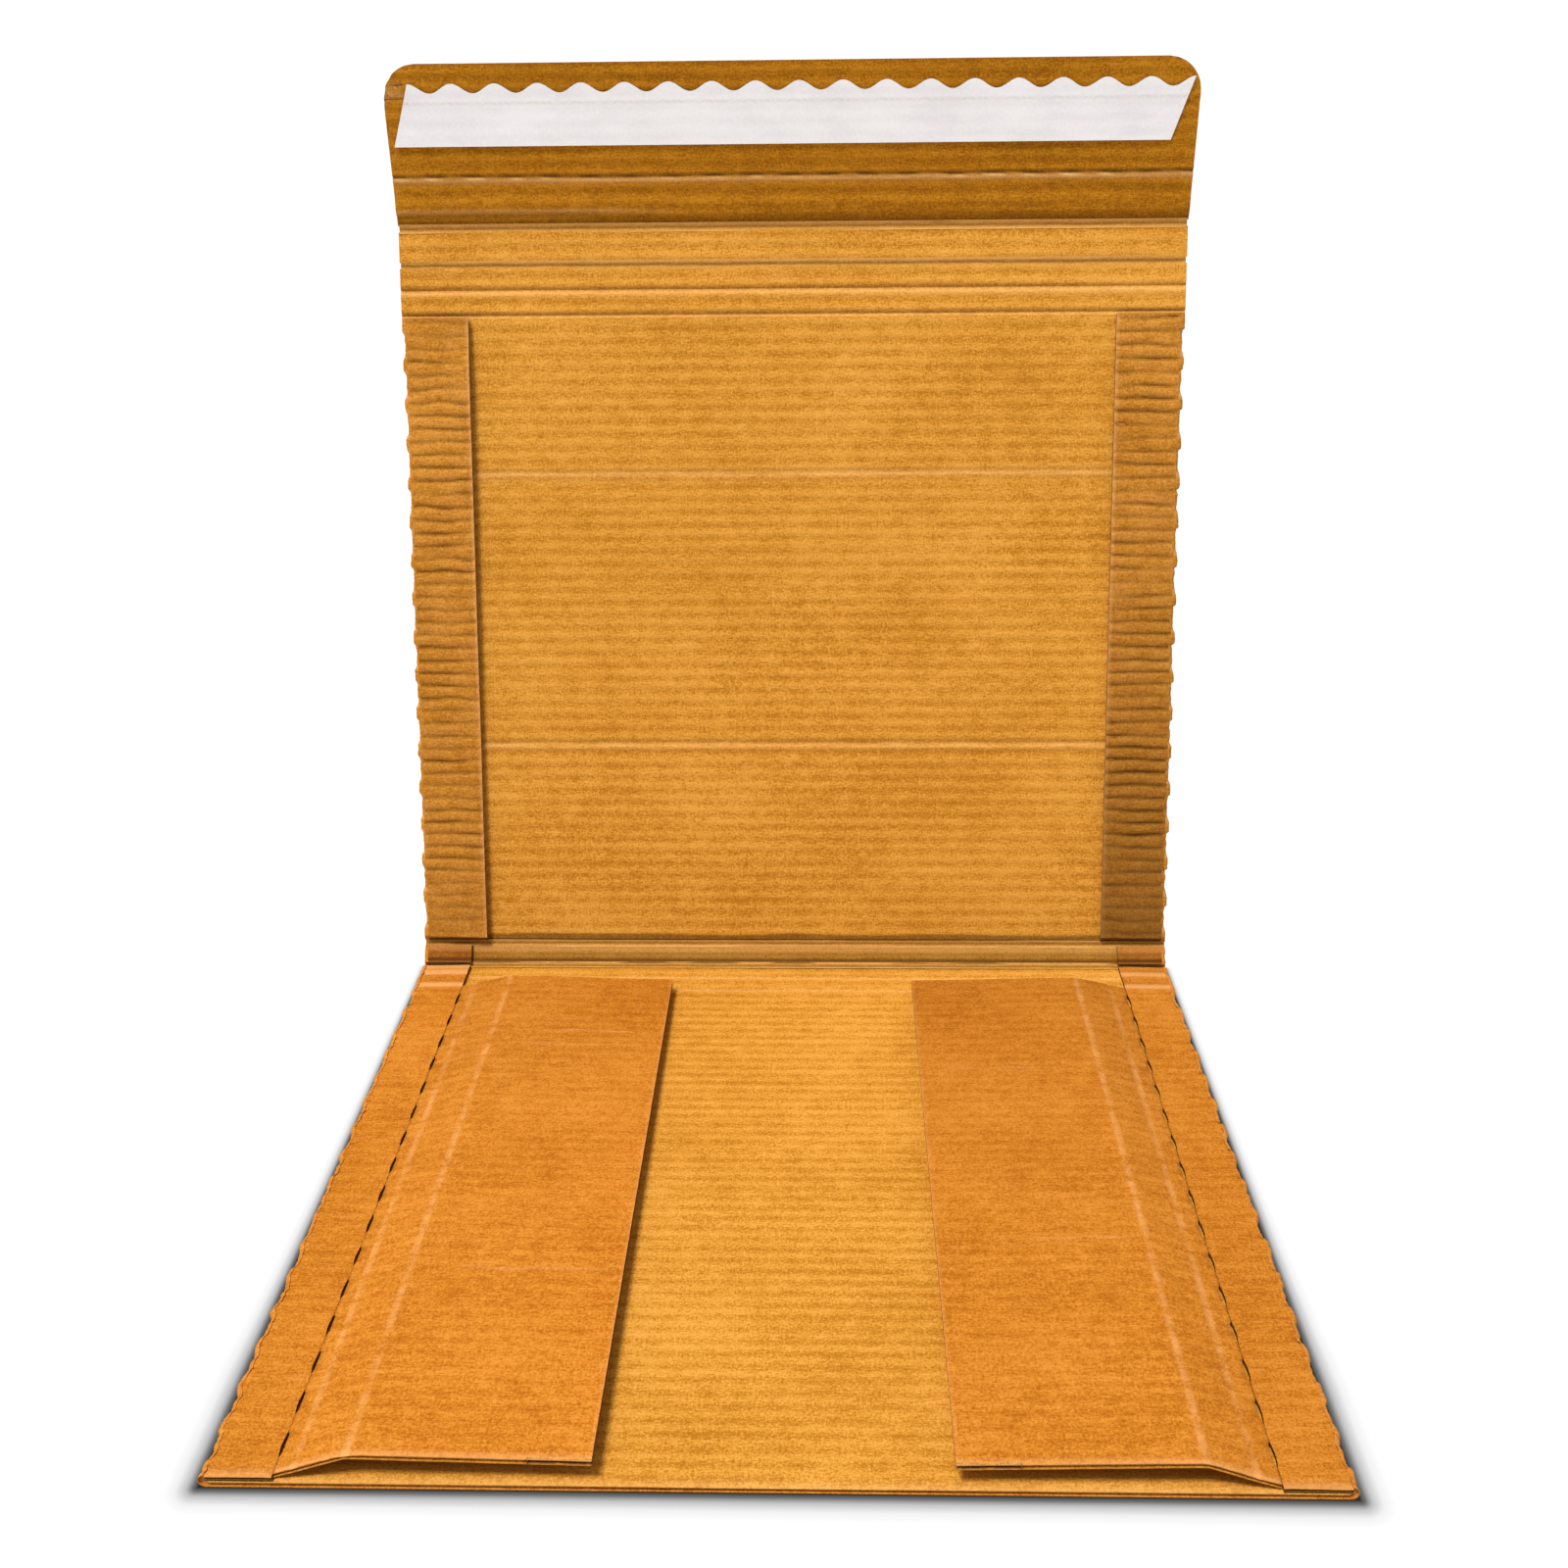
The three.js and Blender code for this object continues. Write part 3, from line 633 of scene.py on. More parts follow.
def lid_piece():
    x0, n0, ox, on, kinds, zone = folded_section(LID_STRIP, (LEFT_LIFT, 0.0), True)
    s = (rows_for(STRIP_END - PANEL_INSET, 0.9) + PANEL_INSET)[:, None]
    x, n = spread((x0, n0), s)
    face, top, roll, inside, upper = (zone == z for z in (FACE, TOP, ROLL, INSIDE, UPPER))
    side = np.sign(x0)
    n += np.where(face, lid_relief(x, s), 0)
    wrinkle, valley = strip_wrinkle(x, s, side)
    n += np.where(top | upper, wrinkle + strip_sag(x, s), 0)
    sprung = (side < 0) & (top | upper | (inside & (n0 > LAYER_GAP - 0.01)))
    n += np.where(sprung, strip_spring(x, s), 0)
    cut_left = bites(s - BAND_TRIM, STRIP_END - BAND_TRIM, 4.0, 3.0)
    cut_right = bites(s - BAND_TRIM, STRIP_END - BAND_TRIM, 6.0, 0.8)
    cut = np.where(side < 0, cut_left, cut_right)
    ragged = 0.30 * wobble(s / 3.1, side * 4, 28) + 0.2 * wobble(s / 1.2, side * 7, 29)
    x -= np.where(roll, side * np.maximum(cut * SCALLOP + ragged + 0.15, LEAST_INSET), 0)
    start = 1 - ease((s - (BAND_TRIM - 0.4)) / 0.8)
    strips = top | roll | inside | upper
    level = np.where(strips, np.minimum(n, 0.02), n)
    n = n * (1 - start) + level * start
    rim = np.abs(x0) < HALF - LID_STRIP + 0.6
    # A painted highlight along each scored ridge on the face; paler along the strips' inner edges and at the
    # torn parts of the side folds.
    ridges = sum(bump(s, line + 1.0, 1.6) for line in LID_RIDGES) * (0.6 + 0.4 * wobble(x / 20, s, 30))
    torn = 0.4 + 0.6 * np.clip(wobble(s / 8, side * 5, 18) + 0.4, 0, 1)
    torn = torn * np.clip(4 * cut * (1 - cut), 0, 1)
    pale = np.where(top & rim, 0.5, 0) + np.where(face, 0.6 * ridges, 0) + np.where(roll, 0.7 * torn, 0)
    # Paler over the wrinkles' crests in patches, as rubbed paper and painted highlight.
    rub_and_highlight = 0.5 + 0.5 * wobble(x / 9, s / 4, 19)
    pale = pale + np.where(top, 0.15 * (1 - valley) * rub_and_highlight, 0)
    # Painted shade under the folded strips, in the wrinkles' valleys, over the right strip more than the
    # left, beside the scored ridges and in the hollow at the bottom of the face by its fold; both strips are
    # also darker toward the lid's bottom.
    dark = np.where(inside & (kinds == INNER), 0.9, 0.0) + np.where(top, 0.42 * valley, 0)
    low = np.clip(1 - s / LID_LENGTH, 0, 1) ** 2
    dark = dark + np.where(top, np.where(side > 0, 0.05 + 0.60 * low, 0.02 + 0.14 * low), 0)
    dark = dark + np.where(face, 0.26 * sum(bump(s, line + 3.4, 1.1) for line in LID_RIDGES), 0)
    hollow = 1 - ease((s - 4.6 - 0.8 * wobble(x / 25, 0, 31)) / 1.3)
    dark = dark + np.where(face, 0.62 * hollow, 0)
    flat_x = np.where(top, 2 * side * HALF - x0, x0)[None, :]
    piece = Piece("lid_board", [INNER_KRAFT, OUTER_KRAFT, EDGE_KRAFT, CORE_KRAFT])
    add_grooved(piece, LID, x, s, n, (ox, on), kinds, pale, dark, depth=1.0, inset=0.25, where=strips,
                flat_x=flat_x)
    edge = HALF - LID_STRIP
    for direction, lift in ((-1, LEFT_LIFT), (1, 0.0)):
        tilt = lift / (HALF - BOARD - edge)

        def middle(v, across, d=direction, t=tilt, up=lift):
            moved = strip_wrinkle(across, v, d)[0] + strip_sag(across, v)
            spring = strip_spring(across, v) if d < 0 else 0
            return (BOARD + LAYER_GAP) / 2 + up - t * (np.abs(across) - edge) + moved / 2 + spring - 0.1

        set_back = 3.0 if direction < 0 else 0.8
        add_ribbon(piece, LID, BAND_TRIM, STRIP_END - 0.6,
                   lambda v, d=direction: d * (edge + set_back) + 0 * v,
                   lambda v, d=direction: d * (edge + CHANNEL_DEPTH - 1) + 0 * v,
                   middle, (BOARD - LAYER_GAP) / 2 - LINER - 0.42)
    add_flat_board(piece, LID, STRIP_END - 0.3, LID_DEPTH - PANEL_INSET, 0.0, lid_relief,
                   lambda v: pressed(v, LID_CREASES), groove=False)
    return piece


OPEN_SIDE = 20.0       # how far in a single sheet is open to its fluting


def flat_section(half, across=84):
    """A single sheet, open to the fluting at both sides."""
    reach = half - OPEN_SIDE
    section = [(x, -BOARD, 0, -1, OUTER, BACKSIDE) for x in np.linspace(-half, half, across // 2)]
    lip = [(half, -BOARD + LINER), (reach, -BOARD + LINER), (reach, -LINER), (half, -LINER)]
    lip_zone = [INSIDE, INSIDE, UPPER, UPPER]
    section += [(x, n, 1, 0, MEDIUM if x < half else EDGE, z) for (x, n), z in zip(lip, lip_zone)]
    section += [(x, 0, 0, 1, INNER, FACE) for x in np.linspace(half, -half, across)]
    section += [(-x, n, -1, 0, MEDIUM if x < half else EDGE, z)
                for (x, n), z in zip(lip[::-1], lip_zone[::-1])]
    return [np.array(column) for column in zip(*section)]


def add_flat_board(piece, sheet, s0, s1, flat_s, relief, press, half_at=None, step=0.9, groove=True,
                   pale_at=None, dark_at=None, shift_at=None):
    """A flat stretch of board from s0 to s1, its inner face raised and pressed by relief(x, s)."""
    x0, n0, ox, on, kinds, zone = flat_section(HALF)
    s = (rows_for(s1 - s0, step) + s0)[:, None]
    x, n = spread((x0, n0), s)
    face, back, upper = zone == FACE, zone == BACKSIDE, zone == UPPER
    moved = relief(x, s)
    n += np.where(face, moved, 0) + np.where(upper, np.minimum(moved, 0), 0)
    n -= np.where(back, 0.2 * press(s), 0)
    if half_at is not None:
        x *= half_at(s) / HALF
    if shift_at is not None:
        x += shift_at(x, s)
    # Paler just before each pressed line and darker just past it: a painted highlight and painted shade along
    # the crease.
    pale = np.where(face, 0.15 * press(s) + 0.50 * press(s + 1.7), 0)
    dark = np.where(face, 0.22 * press(s - 0.4), 0)
    if pale_at is not None:
        pale = pale + np.where(face, pale_at(x, s), 0)
    if dark_at is not None:
        dark = dark + np.where(face, dark_at(x, s), 0)
    if groove:
        add_grooved(piece, sheet, x, s, n, (ox, on), kinds, pale, dark, flat_s=flat_s)
    else:
        add_loft(piece, sheet, x, s, n, kinds, pale + 0 * x, dark + 0 * x, flat_s=flat_s)
    width = half_at or (lambda v: HALF + 0 * v)
    for direction in (-1, 1):
        add_ribbon(piece, sheet, s0 + 0.4, s1 - 0.4,
                   lambda v, d=direction: d * (width(v) - 0.2),
                   lambda v, d=direction: d * (width(v) - OPEN_SIDE + 1),
                   lambda v, x_: -BOARD / 2 + np.minimum(relief(x_, v), 0) / 2,
                   BOARD / 2 - LINER - 0.15, flat_s, press)


def back_piece():
    piece = Piece("back_board", [INNER_KRAFT, WING_KRAFT, EDGE_KRAFT, CORE_KRAFT])
    x0, n0, _, _, kinds, zone = folded_section(BAND, (0.0, 0.0), False)
    s = (rows_for(DEPTH_STEP - 2 * PANEL_INSET, 0.8) + PANEL_INSET)[:, None]
    x, n = spread((x0, n0), s)
    side = np.sign(x0)
    face, top, roll, inside = (zone == z for z in (FACE, TOP, ROLL, INSIDE))
    n += np.where(face | top, 0.12 * ripple(s) + 0.2 * wobble(x / 22, s / 12, 41), 0)
    x -= np.where(roll, side * (0.5 + 0.3 * wobble(s / 3, side * 3, 42)), 0)
    ends = bump(s, PANEL_INSET, 1.2) + bump(s, DEPTH_STEP - PANEL_INSET, 1.2)
    pale = np.where(face | top, 0.5 * ends + 0.4 * bump(s, DEPTH_STEP - 4.0, 1.5), 0)
    # Painted shade: under the folded bands, over the whole back strip, and in two bands near the fold with
    # the base.
    dark = np.where(inside, 0.8, 0.0) + np.where(face, 0.34, np.where(top, 0.40, 0.05))
    dark = dark + np.where(face | top, 0.55 * bump(s, 3.2, 1.6) + 0.25 * bump(s, 7.0, 1.2), 0)
    add_loft(piece, BACK, x, s, n, kinds, pale + 0 * x, dark + 0 * x, flat_s=BASE_DEPTH)
    return piece


def strip_relief(x, s):
    wave = 0.24 * ripple(s + LID_DEPTH, 0.9) * (1 + 0.5 * wobble(x / 60, s / 30, 51))
    return wave + 0.20 * wobble(x / 75, s / 3.2, 52) + 0.07 * wobble(x / 25, s / 2.0, 53)


def front_piece():
    piece = Piece("front_board", [INNER_KRAFT, OUTER_KRAFT, EDGE_KRAFT, CORE_KRAFT])
    add_flat_board(piece, STRIP, PANEL_INSET, FRONT_HEIGHT - PANEL_INSET, LID_DEPTH, strip_relief,
                   lambda v: 0 * v, groove=False)
    return piece


# The closure flap

FLAP_HEIGHT = 83.5
CORNER = 18.0
TEAR = 26.2
SHOULDER = FLAP_HEIGHT - CORNER


def flap_half(s):
    """Half of the flap's width at height s, with its free corners rounded."""
    past = np.clip((s - SHOULDER) / CORNER, 0, 1)
    return HALF - CORNER * (1 - np.sqrt(np.maximum(0, 1 - past ** 2)))


def tear_line(x):
    return TEAR + 0.35 * wobble(x / 15, 0, 67)


def tear_spots(x):
    """1 in the middle of each slit of the flap's perforated tear line, 0 between slits."""
    return ease(np.cos(2 * np.pi * x / PERFORATION) * 1.6 + 0.35)


def flap_relief(x, s):
    """The flap nods out of its fold, is torn at its perforated line, and crumpled at one corner."""
    nod = 1.0 * bump(s, 9.5, 5.0) - 0.25 * bump(s, 2.4, 1.5)
    dent = -1.0 * bump(s, 5.5 + 1.5 * wobble(x / 50, 0, 66), 1.6) * ease((-x - 60) / 80)
    line = tear_line(x)
    torn = 0.80 * bump(s, line + 0.7, 0.7) * (0.35 + 0.65 * tear_spots(x))
    lip = 0.40 * bump(s, line - 1.6, 1.2)
    wave = 0.27 * ripple(s, 0.8) * (1 + 0.6 * wobble(x / 40, s / 20, 68))
    wave = wave + 0.13 * wobble(x / 75, s / 3.2, 65)
    waver = 0.30 * wobble(x / 70, s / 30, 69) * ease((s - 12) / 10)
    corner = np.exp(-((x + HALF) / 24) ** 2) * bump(s, FLAP_HEIGHT - 13, 11)
    crumple = corner * (0.45 * wobble(x / 5, s / 4, 61) - 0.55)
    return nod + dent - torn + lip + wave + waver + crumple


def flap_piece():
    piece = Piece("flap_board", [SHADED_FLAP_KRAFT, OUTER_KRAFT, EDGE_KRAFT, CORE_KRAFT])

    # Pale marks: a painted highlight on the lip under the tear line, paler torn paper at the corner nick, and
    # a painted highlight above the dent at the left.
    def fray_and_highlight(x, s):
        line = tear_line(x)
        torn = np.clip(0.45 + 0.9 * wobble(x / 5, 0 * s, 63), 0, 1)
        lit = bump(s, line - 0.6, 0.7) * (0.15 + 0.85 * tear_spots(x)) * torn
        nick = np.exp(-((x + HALF) / 10) ** 2) * bump(s, FLAP_HEIGHT - 14, 2.5)
        return 0.9 * lit + 0.6 * nick + 0.45 * bump(s, 8.8, 1.2) * ease((-x - 50) / 80)

    def nick(x, s):
        inward = 2.6 * bump(s, FLAP_HEIGHT - 15.5, 2.2) + 0.9 * bump(s, FLAP_HEIGHT - 9, 3)
        return inward * ease((-x - HALF + 28) / 14)

    # Painted shade: in the slits of the tear line, in the valley just above the fold, and in the dent at the
    # left.
    def painted_shade(x, s):
        line = tear_line(x)
        slit = bump(s, line + 0.9, 0.8) * (0.3 + 0.7 * tear_spots(x))
        folded = 0.20 * bump(s, 5.0, 3.2) + 0.55 * bump(s, 1.9, 1.5)
        return 0.50 * slit + folded + 0.25 * bump(s, 5.6, 0.9) * ease((-x - 50) / 80)

    add_flat_board(piece, FLAP, PANEL_INSET, FLAP_HEIGHT - 0.02, LID_DEPTH + FRONT_HEIGHT, flap_relief,
                   lambda v: bump(v, TEAR, 1.2), half_at=flap_half, step=0.7, pale_at=fray_and_highlight, dark_at=painted_shade,
                   shift_at=nick)
    return piece


# The wings

WING_INSET = 1.5
WING_LENGTH = BASE_LENGTH - 2 * WING_INSET
WING_REACH = 120.5     # from the fold to the free edge
WING_FACET = 28.0      # from the fold to the crease where the wing levels off
WING_RISE, WING_SAG, WING_DROOP = 10.2, 2.4, 3.0
WING_OPEN = 24.0       # how far in the free edge is open to its fluting
# Faint lines across the wings: where, and from and to how far from the fold
LEFT_LINES = ((105, 45, 118), (283, 30, 116), (296, 50, 112), (307, 30, 90))
RIGHT_LINES = ((127, 30, 95), (262, 40, 110))


def wing_top(x, s):
    """Height of the wing's upper face over its fold."""
    facet = np.clip(x / WING_FACET, 0, 1)
    swell = 0.15 * np.sin(np.pi * facet) * (1 - 0.3 * s / WING_LENGTH)
    panel = -WING_SAG * np.clip((x - WING_FACET) / (WING_REACH - WING_FACET), 0, 1)
    droop = -WING_DROOP * (s / WING_LENGTH) * facet
    return WING_RISE * facet + swell + panel + droop


def patchy(s, seed):
    """How strongly a pale crease line shows, in broken dashes."""
    dashes = 0.7 * wobble(s / 5, 0, seed + 8) + 0.35 * wobble(s / 1.4, 0, seed + 9)
    return np.clip(0.75 + dashes, 0.1, 1.5)


def wing_piece(side):
    name = "left" if side > 0 else "right"
    seed = 70 if side > 0 else 90
    xs = np.concatenate([np.linspace(FOLD_GAP / 2, 3, 4), np.linspace(4.5, WING_FACET + 4, 20),
                         np.linspace(WING_FACET + 7, WING_REACH - 2, 26), [WING_REACH - 0.6, WING_REACH]])
    under = xs[::2]
    inner_x = WING_REACH - WING_OPEN
    lip = [(WING_REACH, -LINER), (inner_x, -LINER), (inner_x, LINER - BOARD), (WING_REACH, LINER - BOARD)]
    x0 = np.concatenate([xs, [p[0] for p in lip], under[::-1]])
    thinned = 0.4 * np.clip(1 - under[::-1] / 8, 0, 1)
    off0 = np.concatenate([np.zeros(len(xs)), [p[1] for p in lip], thinned - BOARD])
    on = np.concatenate([np.ones(len(xs)), np.zeros(4), -np.ones(len(under))])
    ox = np.concatenate([np.zeros(len(xs)), np.ones(4), np.zeros(len(under))])
    top = np.arange(len(x0)) < len(xs)
    kinds = np.array([INNER] * (len(xs) - 1) + [EDGE, EDGE, MEDIUM, MEDIUM, EDGE] + [OUTER] * len(under))
    s = rows_for(WING_LENGTH)[:, None]
    x, = spread((x0,), s)
    n = wing_top(x, s) + off0
    faint = 8.0 if side > 0 else 9.5
    press = 0.30 * bump(x, faint, 1.2) + (0.45 if side > 0 else 0.2) * bump(x, WING_FACET, 1.6)
    wave = 0.13 * ripple(s) * (1 + 0.5 * wobble(x / 40, s / 25, seed))
    waver = 0.35 * wobble(x / 45, s / 60, seed + 1) + 0.1 * wobble(x / 12, s / 14, seed + 2)
    near = np.clip(x0 / 30, 0, 1) ** 2
    n += np.where(top, (wave + waver) * near - press, 0.8 * waver * near)
    slope = np.clip(x0 / 8, 0, 1) * (1 - ease((x0 - 30) / 20))
    crackle = 0.17 * wobble(x / 2.6, s / 5, seed + 11) + 0.12 * wobble(x / 9, s / 3.4, seed + 12)
    n += np.where(top, slope * (crackle - 0.3), 0)
    crush = 1 - ease(s / 4.0)
    n -= np.where(top, 0.5 * crush, 0)
    cross = sum(bump(s + 0.6 * wobble(x / 12, line, seed + 6), line, 0.8)
                * ease((x - low) / 12) * ease((high - x) / 12)
                for line, low, high in (LEFT_LINES if side > 0 else RIGHT_LINES))
    n += np.where(top, 0.22 * cross - 0.12 * np.roll(cross, -2, 0), 0)
    # The perforated fold: open slits where it is cut.
    cut = slits(s, WING_LENGTH) * (1 + 0.25 * wobble(s / 4, 0, seed + 5))
    rough = 0.12 * np.clip(wobble(s / 1.5, 0.5, seed + 3), 0, 1)
    x += np.where(x0 < 1.0, 1.9 * cut + rough, 0)
    creases = bump(x, faint, 1.0) * patchy(s, seed) + bump(x, WING_FACET + 0.5, 1.1) * patchy(s, seed + 1)
    broken = np.clip(0.6 + wobble(x / 7, s, seed + 7), 0, 1.3)
    pale = 0.62 * creases + 0.55 * crush + 0.40 * cross * broken + 0.3 * bump(x, WING_REACH, 0.8)
    pale = np.where(top, pale, 0)
    # Painted shade: along the fold and in its slits, growing toward the back, and more over the right wing.
    dark = np.where(top, 0.55 * bump(x0, 0.0, 0.7) * (1 - cut) + 0.3 * cut * bump(x, 1.6, 1.0), 0)
    dark = dark + np.where(top, 0.20 * (s / WING_LENGTH) ** 2 + (0.07 if side < 0 else 0.0), 0)
    piece = Piece(f"{name}_wing_board", [WING_KRAFT, OUTER_KRAFT, EDGE_KRAFT, CORE_KRAFT])
    sheet = WingSheet(side, FRONT + WING_INSET)
    add_grooved(piece, sheet, x, s, n, (ox, on), kinds, pale, dark, inset=0.35)
    add_ribbon(piece, sheet, 0.5, WING_LENGTH - 0.5, lambda v: WING_REACH - 0.2 + 0 * v,
               lambda v: inner_x + 1 + 0 * v, lambda v, across: wing_top(across, v) - BOARD / 2,
               BOARD / 2 - LINER - 0.15)
    return piece


# Folds: bent board that joins two panels


def fold_piece(name, pivot, before, after, kraft_face, half, press=0.7, reach=2.4):
    """The stretch of board across one fold, as a cross-section pushed along X."""
    a = np.array([math.cos(before.angle), math.sin(before.angle)])
    b = np.array([math.cos(after.angle), math.sin(after.angle)])
    up_a, up_b = np.array([-a[1], a[0]]), np.array([-b[1], b[0]])
    p = np.array([pivot[1], pivot[2]])
    t = np.linspace(0, 1, 11)[:, None]
    skin_gap = 0.05
    start, end = p - a * reach - up_a * skin_gap, p + b * reach - up_b * skin_gap
    middle = p - (up_a + up_b) / 2 * press
    inner = (1 - t) ** 2 * start + 2 * t * (1 - t) * middle + t ** 2 * end
    turn = np.linspace(before.angle, after.angle, 9)
    arc = np.array([p - (BOARD - skin_gap) * np.array([-math.sin(v), math.cos(v)]) for v in turn])
    deep = BOARD - skin_gap
    outer = np.vstack([p - a * reach - up_a * deep, arc, p + b * reach - up_b * deep])
    loop = np.vstack([inner, outer[::-1]])
    kinds = np.array([INNER] * (len(inner) - 1) + [EDGE] + [OUTER] * (len(outer) - 1) + [EDGE])
    xs = np.linspace(-half, half, 120)
    points = np.zeros((len(xs), len(loop), 3))
    points[..., 0] = xs[:, None]
    points[..., 1] = loop[None, :, 0]
    points[..., 2] = loop[None, :, 1]
    depth = np.concatenate([np.sin(np.pi * t[:, 0]), np.zeros(len(outer))])
    waver = wobble(xs / 9, 0, len(name))[:, None] * 0.18 * depth[None, :]
    points[..., 2] += waver
    faces, slots = skin(len(xs), len(loop), kinds)
    run = np.concatenate([np.linspace(-reach, reach, len(inner)), np.linspace(reach, -reach, len(outer))])
    across = points[..., 0]
    flat = np.stack([across, run + pivot[1] + 0 * across, 0 * across], -1)
    phase, plain = np.pi * t[:, 0], np.zeros(len(outer))
    pale = np.concatenate([0.55 * np.abs(np.cos(phase)), plain]) + 0 * across
    # Painted shade, deepest in the middle of the fold's inner bend.
    dark = np.concatenate([0.12 + 0.45 * np.sin(phase) ** 4, plain]) + 0 * across
    piece = Piece(name, [kraft_face, OUTER_KRAFT, EDGE_KRAFT, CORE_KRAFT])
    piece.add(points, faces, slots, flat.reshape(-1, 3), pale, dark)
    thing = piece.build(60)
    lead = np.array([0, *(p - a * PANEL_INSET)]) * MM
    trail = np.array([0, *(p + b * PANEL_INSET)]) * MM
    return thing, lead, trail


# Adhesive strip and release liner

LINER_BOTTOM, LINER_TALL, LINER_LONG, LINER_SLANT = 42.5, 29.0, 416.0, 10.4
LINER_WAVES, LINER_WAVE = 18, 2.4
TAPE, TAPE_AIR = 0.3, 0.05


def liner_piece():
    piece = Piece("liner_sheet", [LINER_WHITE] * 4)
    columns, rows = LINER_WAVES * 24 + 1, 24
    u = np.linspace(0, 1, columns)[None, :]
    v = np.linspace(0, 1, rows)[:, None]
    crest = LINER_TALL + LINER_WAVE * np.cos(2 * np.pi * LINER_WAVES * u)
    s = LINER_BOTTOM + v * crest
    left = -LINER_LONG / 2
    x = left + LINER_LONG * u + LINER_SLANT * (v - 0.5)
    lift = 0.12 * ease((v - 0.8) / 0.2) * (0.5 + 0.5 * wobble(x / 17, 0, 82))
    lift = lift + 0.10 * wobble(x / 30, s / 9, 81)
    curl = 0.9 * bump(x, left, 9) * ease((v - 0.5) / 0.5)
    front = 2 * TAPE + TAPE_AIR + np.clip(lift + curl, 0, 1.4)
    back = front - 0.16
    line = 0.5 * bump(s, LINER_BOTTOM + 21.5, 0.7)
    points = np.concatenate([FLAP.world(x, s, front).reshape(-1, 3), FLAP.world(x, s, back).reshape(-1, 3)])
    grid = np.arange(rows * columns).reshape(rows, columns)
    quads = np.stack([grid[:-1, :-1], grid[:-1, 1:], grid[1:, 1:], grid[1:, :-1]], -1).reshape(-1, 4)
    other = quads[:, ::-1] + rows * columns
    rim = np.concatenate([grid[0, :-1], grid[:-1, -1], grid[-1, :0:-1], grid[:0:-1, 0]])
    turn = np.roll(rim, -1)
    wall = np.stack([rim, rim + rows * columns, turn + rows * columns, turn], -1)
    faces = [tuple(q) for q in np.vstack([quads, other, wall])]
    flat = np.concatenate([np.stack([x, s, 0 * s], -1).reshape(-1, 3)] * 2)
    piece.add(points, faces, [0] * len(faces), flat, 0.0, np.concatenate([line.reshape(-1)] * 2))
    return piece


# Assembly


def settle(piece, node, body):
    thing = piece.build()
    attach(thing, body)
    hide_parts(node)


settle(base_piece(), "base_panel", "base")
settle(back_piece(), "back_strip", "back")
settle(lid_piece(), "lid_panel", "lid")
settle(front_piece(), "front_strip", "front")
settle(flap_piece(), "closure_flap", "flap")
settle(wing_piece(1), "left_wing", "wing_left")
settle(wing_piece(-1), "right_wing", "wing_right")
settle(liner_piece(), "release_liner", "flap")

FOLDS = (
    ("back_fold_board", back_fold, BASE, BACK, "base", "back"),
    ("lid_fold_board", lid_fold, BACK, LID, "back", "lid"),
    ("front_fold_board", front_fold, LID, STRIP, "lid", "front"),
    ("flap_fold_board", flap_fold, STRIP, FLAP, "front", "flap"),
)
for name, pivot, before, after, body_a, body_b in FOLDS:
    thing, lead, trail = fold_piece(name, pivot, before, after, INNER_KRAFT, HALF - 0.6)
    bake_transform(thing)

tape_node = frame["nodes"]["adhesive_strip"]
tape_node.data.materials.clear()
tape_node.data.materials.append(TAPE_FILM)

# Floor, light and camera


def lit_table():
    """A white glowing table with a painted contact shadow: a soft dark rim along the mailer's footprint."""
    m = Nodes("floor_white")
    m.shader.inputs["Base Color"].default_value = (0, 0, 0, 1)
    m.shader.inputs["Roughness"].default_value = 1.0
    m.shader.inputs["Specular IOR Level"].default_value = 0.0
    place = m.split(m.make("ShaderNodeTexCoord").outputs["Object"])
    gaps = []
    rear = FRONT + BASE_DEPTH + BOARD
    for axis, low, high in ((0, -HALF, HALF), (1, FRONT, rear)):
        centred = m.math("SUBTRACT", place[axis], (low + high) / 2 * MM)
        beyond = m.math("SUBTRACT", m.math("ABSOLUTE", centred), (high - low) / 2 * MM)
        gaps.append(m.math("MAXIMUM", beyond, 0.0))
    far = m.math("SQRT", m.math("ADD", m.math("POWER", gaps[0], 2.0), m.math("POWER", gaps[1], 2.0)))
    # The painted shadow rim is widest in front and narrows toward the back.
    steepness = m.math("ADD", m.math("MULTIPLY", place[1], 260.0), 100.0)
    rim = m.ramp(m.math("MULTIPLY", far, m.math("MAXIMUM", steepness, 50.0)), (0.0, (0.03, 0.028, 0.025)),
                 (0.10, (0.17, 0.17, 0.17)), (0.22, (0.52, 0.52, 0.52)), (0.42, (0.84, 0.84, 0.84)),
                 (0.75, (1, 1, 1)))
    m.link(rim, m.shader.inputs["Emission Color"])
    m.shader.inputs["Emission Strength"].default_value = 1.06
    return m.material


floor_mesh = bpy.data.meshes.new("floor")
reach = 6.0
corners = [(-reach, -reach, 0), (reach, -reach, 0), (reach, reach, 0), (-reach, reach, 0)]
floor_mesh.from_pydata(corners, [], [(0, 1, 2, 3)])
floor_mesh.materials.append(lit_table())
floor = bpy.data.objects.new("floor", floor_mesh)
floor.location.z = -0.0003
bpy.context.scene.collection.objects.link(floor)
floor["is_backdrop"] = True

# A white room: bright low walls, a dimmer ceiling, and one large lamp high on the left
world = bpy.data.worlds.new("studio")
world.use_nodes = True
sky = world.node_tree
background = sky.nodes["Background"]
direction = sky.nodes.new("ShaderNodeTexCoord")
height = sky.nodes.new("ShaderNodeSeparateXYZ")
walls = sky.nodes.new("ShaderNodeValToRGB")
WALL, CEILING = 1.05, 0.50
for element, position, grey in zip(walls.color_ramp.elements, (0.10, 0.22), (WALL, CEILING)):
    element.position, element.color = position, (grey, grey, grey, 1)
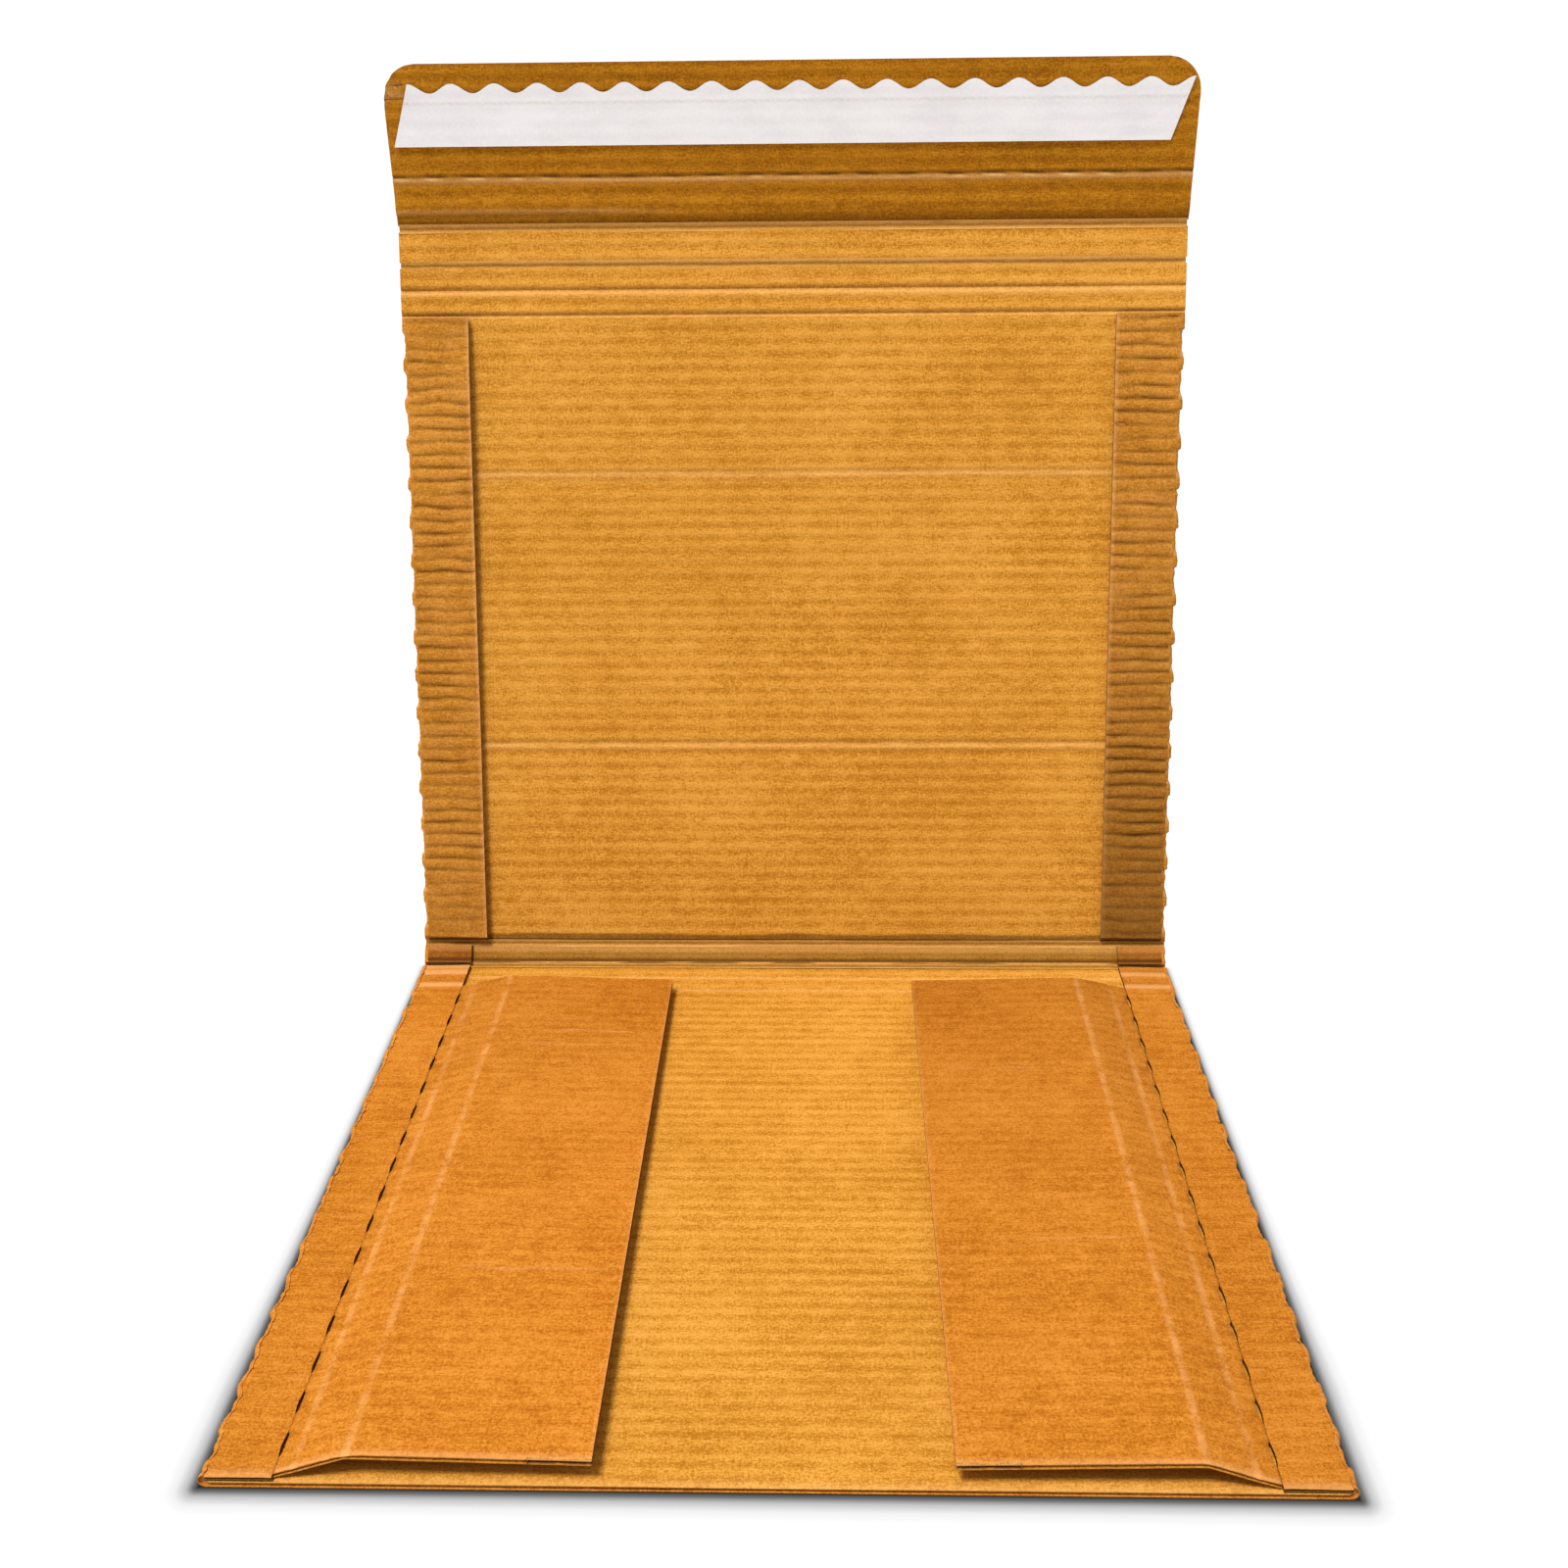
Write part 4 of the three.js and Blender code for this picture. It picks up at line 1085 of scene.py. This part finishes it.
sky.links.new(direction.outputs["Generated"], height.inputs[0])
sky.links.new(height.outputs[2], walls.inputs[0])
sky.links.new(walls.outputs[0], background.inputs[0])
bpy.context.scene.world = world

KEY_ELEVATION, KEY_SIDE = math.radians(66), math.radians(-38)
lamp_data = bpy.data.lights.new("key", "SUN")
lamp_data.energy = 4.3
lamp_data.angle = math.radians(16)
lamp = bpy.data.objects.new("key", lamp_data)
level = math.cos(KEY_ELEVATION)
toward = Vector((math.sin(KEY_SIDE) * level, -math.cos(KEY_SIDE) * level, math.sin(KEY_ELEVATION)))
lamp.rotation_euler = toward.to_track_quat("Z", "Y").to_euler()
bpy.context.scene.collection.objects.link(lamp)

# Camera fitted to the corners of the base and lid in the photograph's 1600 pixel frame
FOCAL_PIXELS = 1684.1
FRAME_PIXELS = 1600
PITCH, YAW, ROLL_ANGLE = math.radians(23.94), math.radians(-1.63), math.radians(-0.66)
CAMERA_PLACE = np.array([19.8, -454.2 + FRONT, 490.7]) * MM

forward = np.array([math.sin(YAW) * math.cos(PITCH), math.cos(YAW) * math.cos(PITCH), -math.sin(PITCH)])
right = np.array([math.cos(YAW), -math.sin(YAW), 0.0])
upward = np.cross(right, forward)
right, upward = (right * math.cos(ROLL_ANGLE) + upward * math.sin(ROLL_ANGLE),
                 upward * math.cos(ROLL_ANGLE) - right * math.sin(ROLL_ANGLE))
camera_data = bpy.data.cameras.new("camera")
camera_data.sensor_width = 36
camera_data.lens = 36 * FOCAL_PIXELS / FRAME_PIXELS
camera_data.clip_start = 0.01
camera = bpy.data.objects.new("camera", camera_data)
camera.matrix_world = Matrix([
    [right[0], upward[0], -forward[0], CAMERA_PLACE[0]],
    [right[1], upward[1], -forward[1], CAMERA_PLACE[1]],
    [right[2], upward[2], -forward[2], CAMERA_PLACE[2]],
    [0, 0, 0, 1],
])
bpy.context.scene.collection.objects.link(camera)
bpy.context.scene.camera = camera
bpy.context.scene.view_settings.view_transform = "Standard"

size = {"cad": [list(map(float, corner)) for corner in cad_bounds],
        "visual": [list(map(float, corner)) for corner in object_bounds()]}
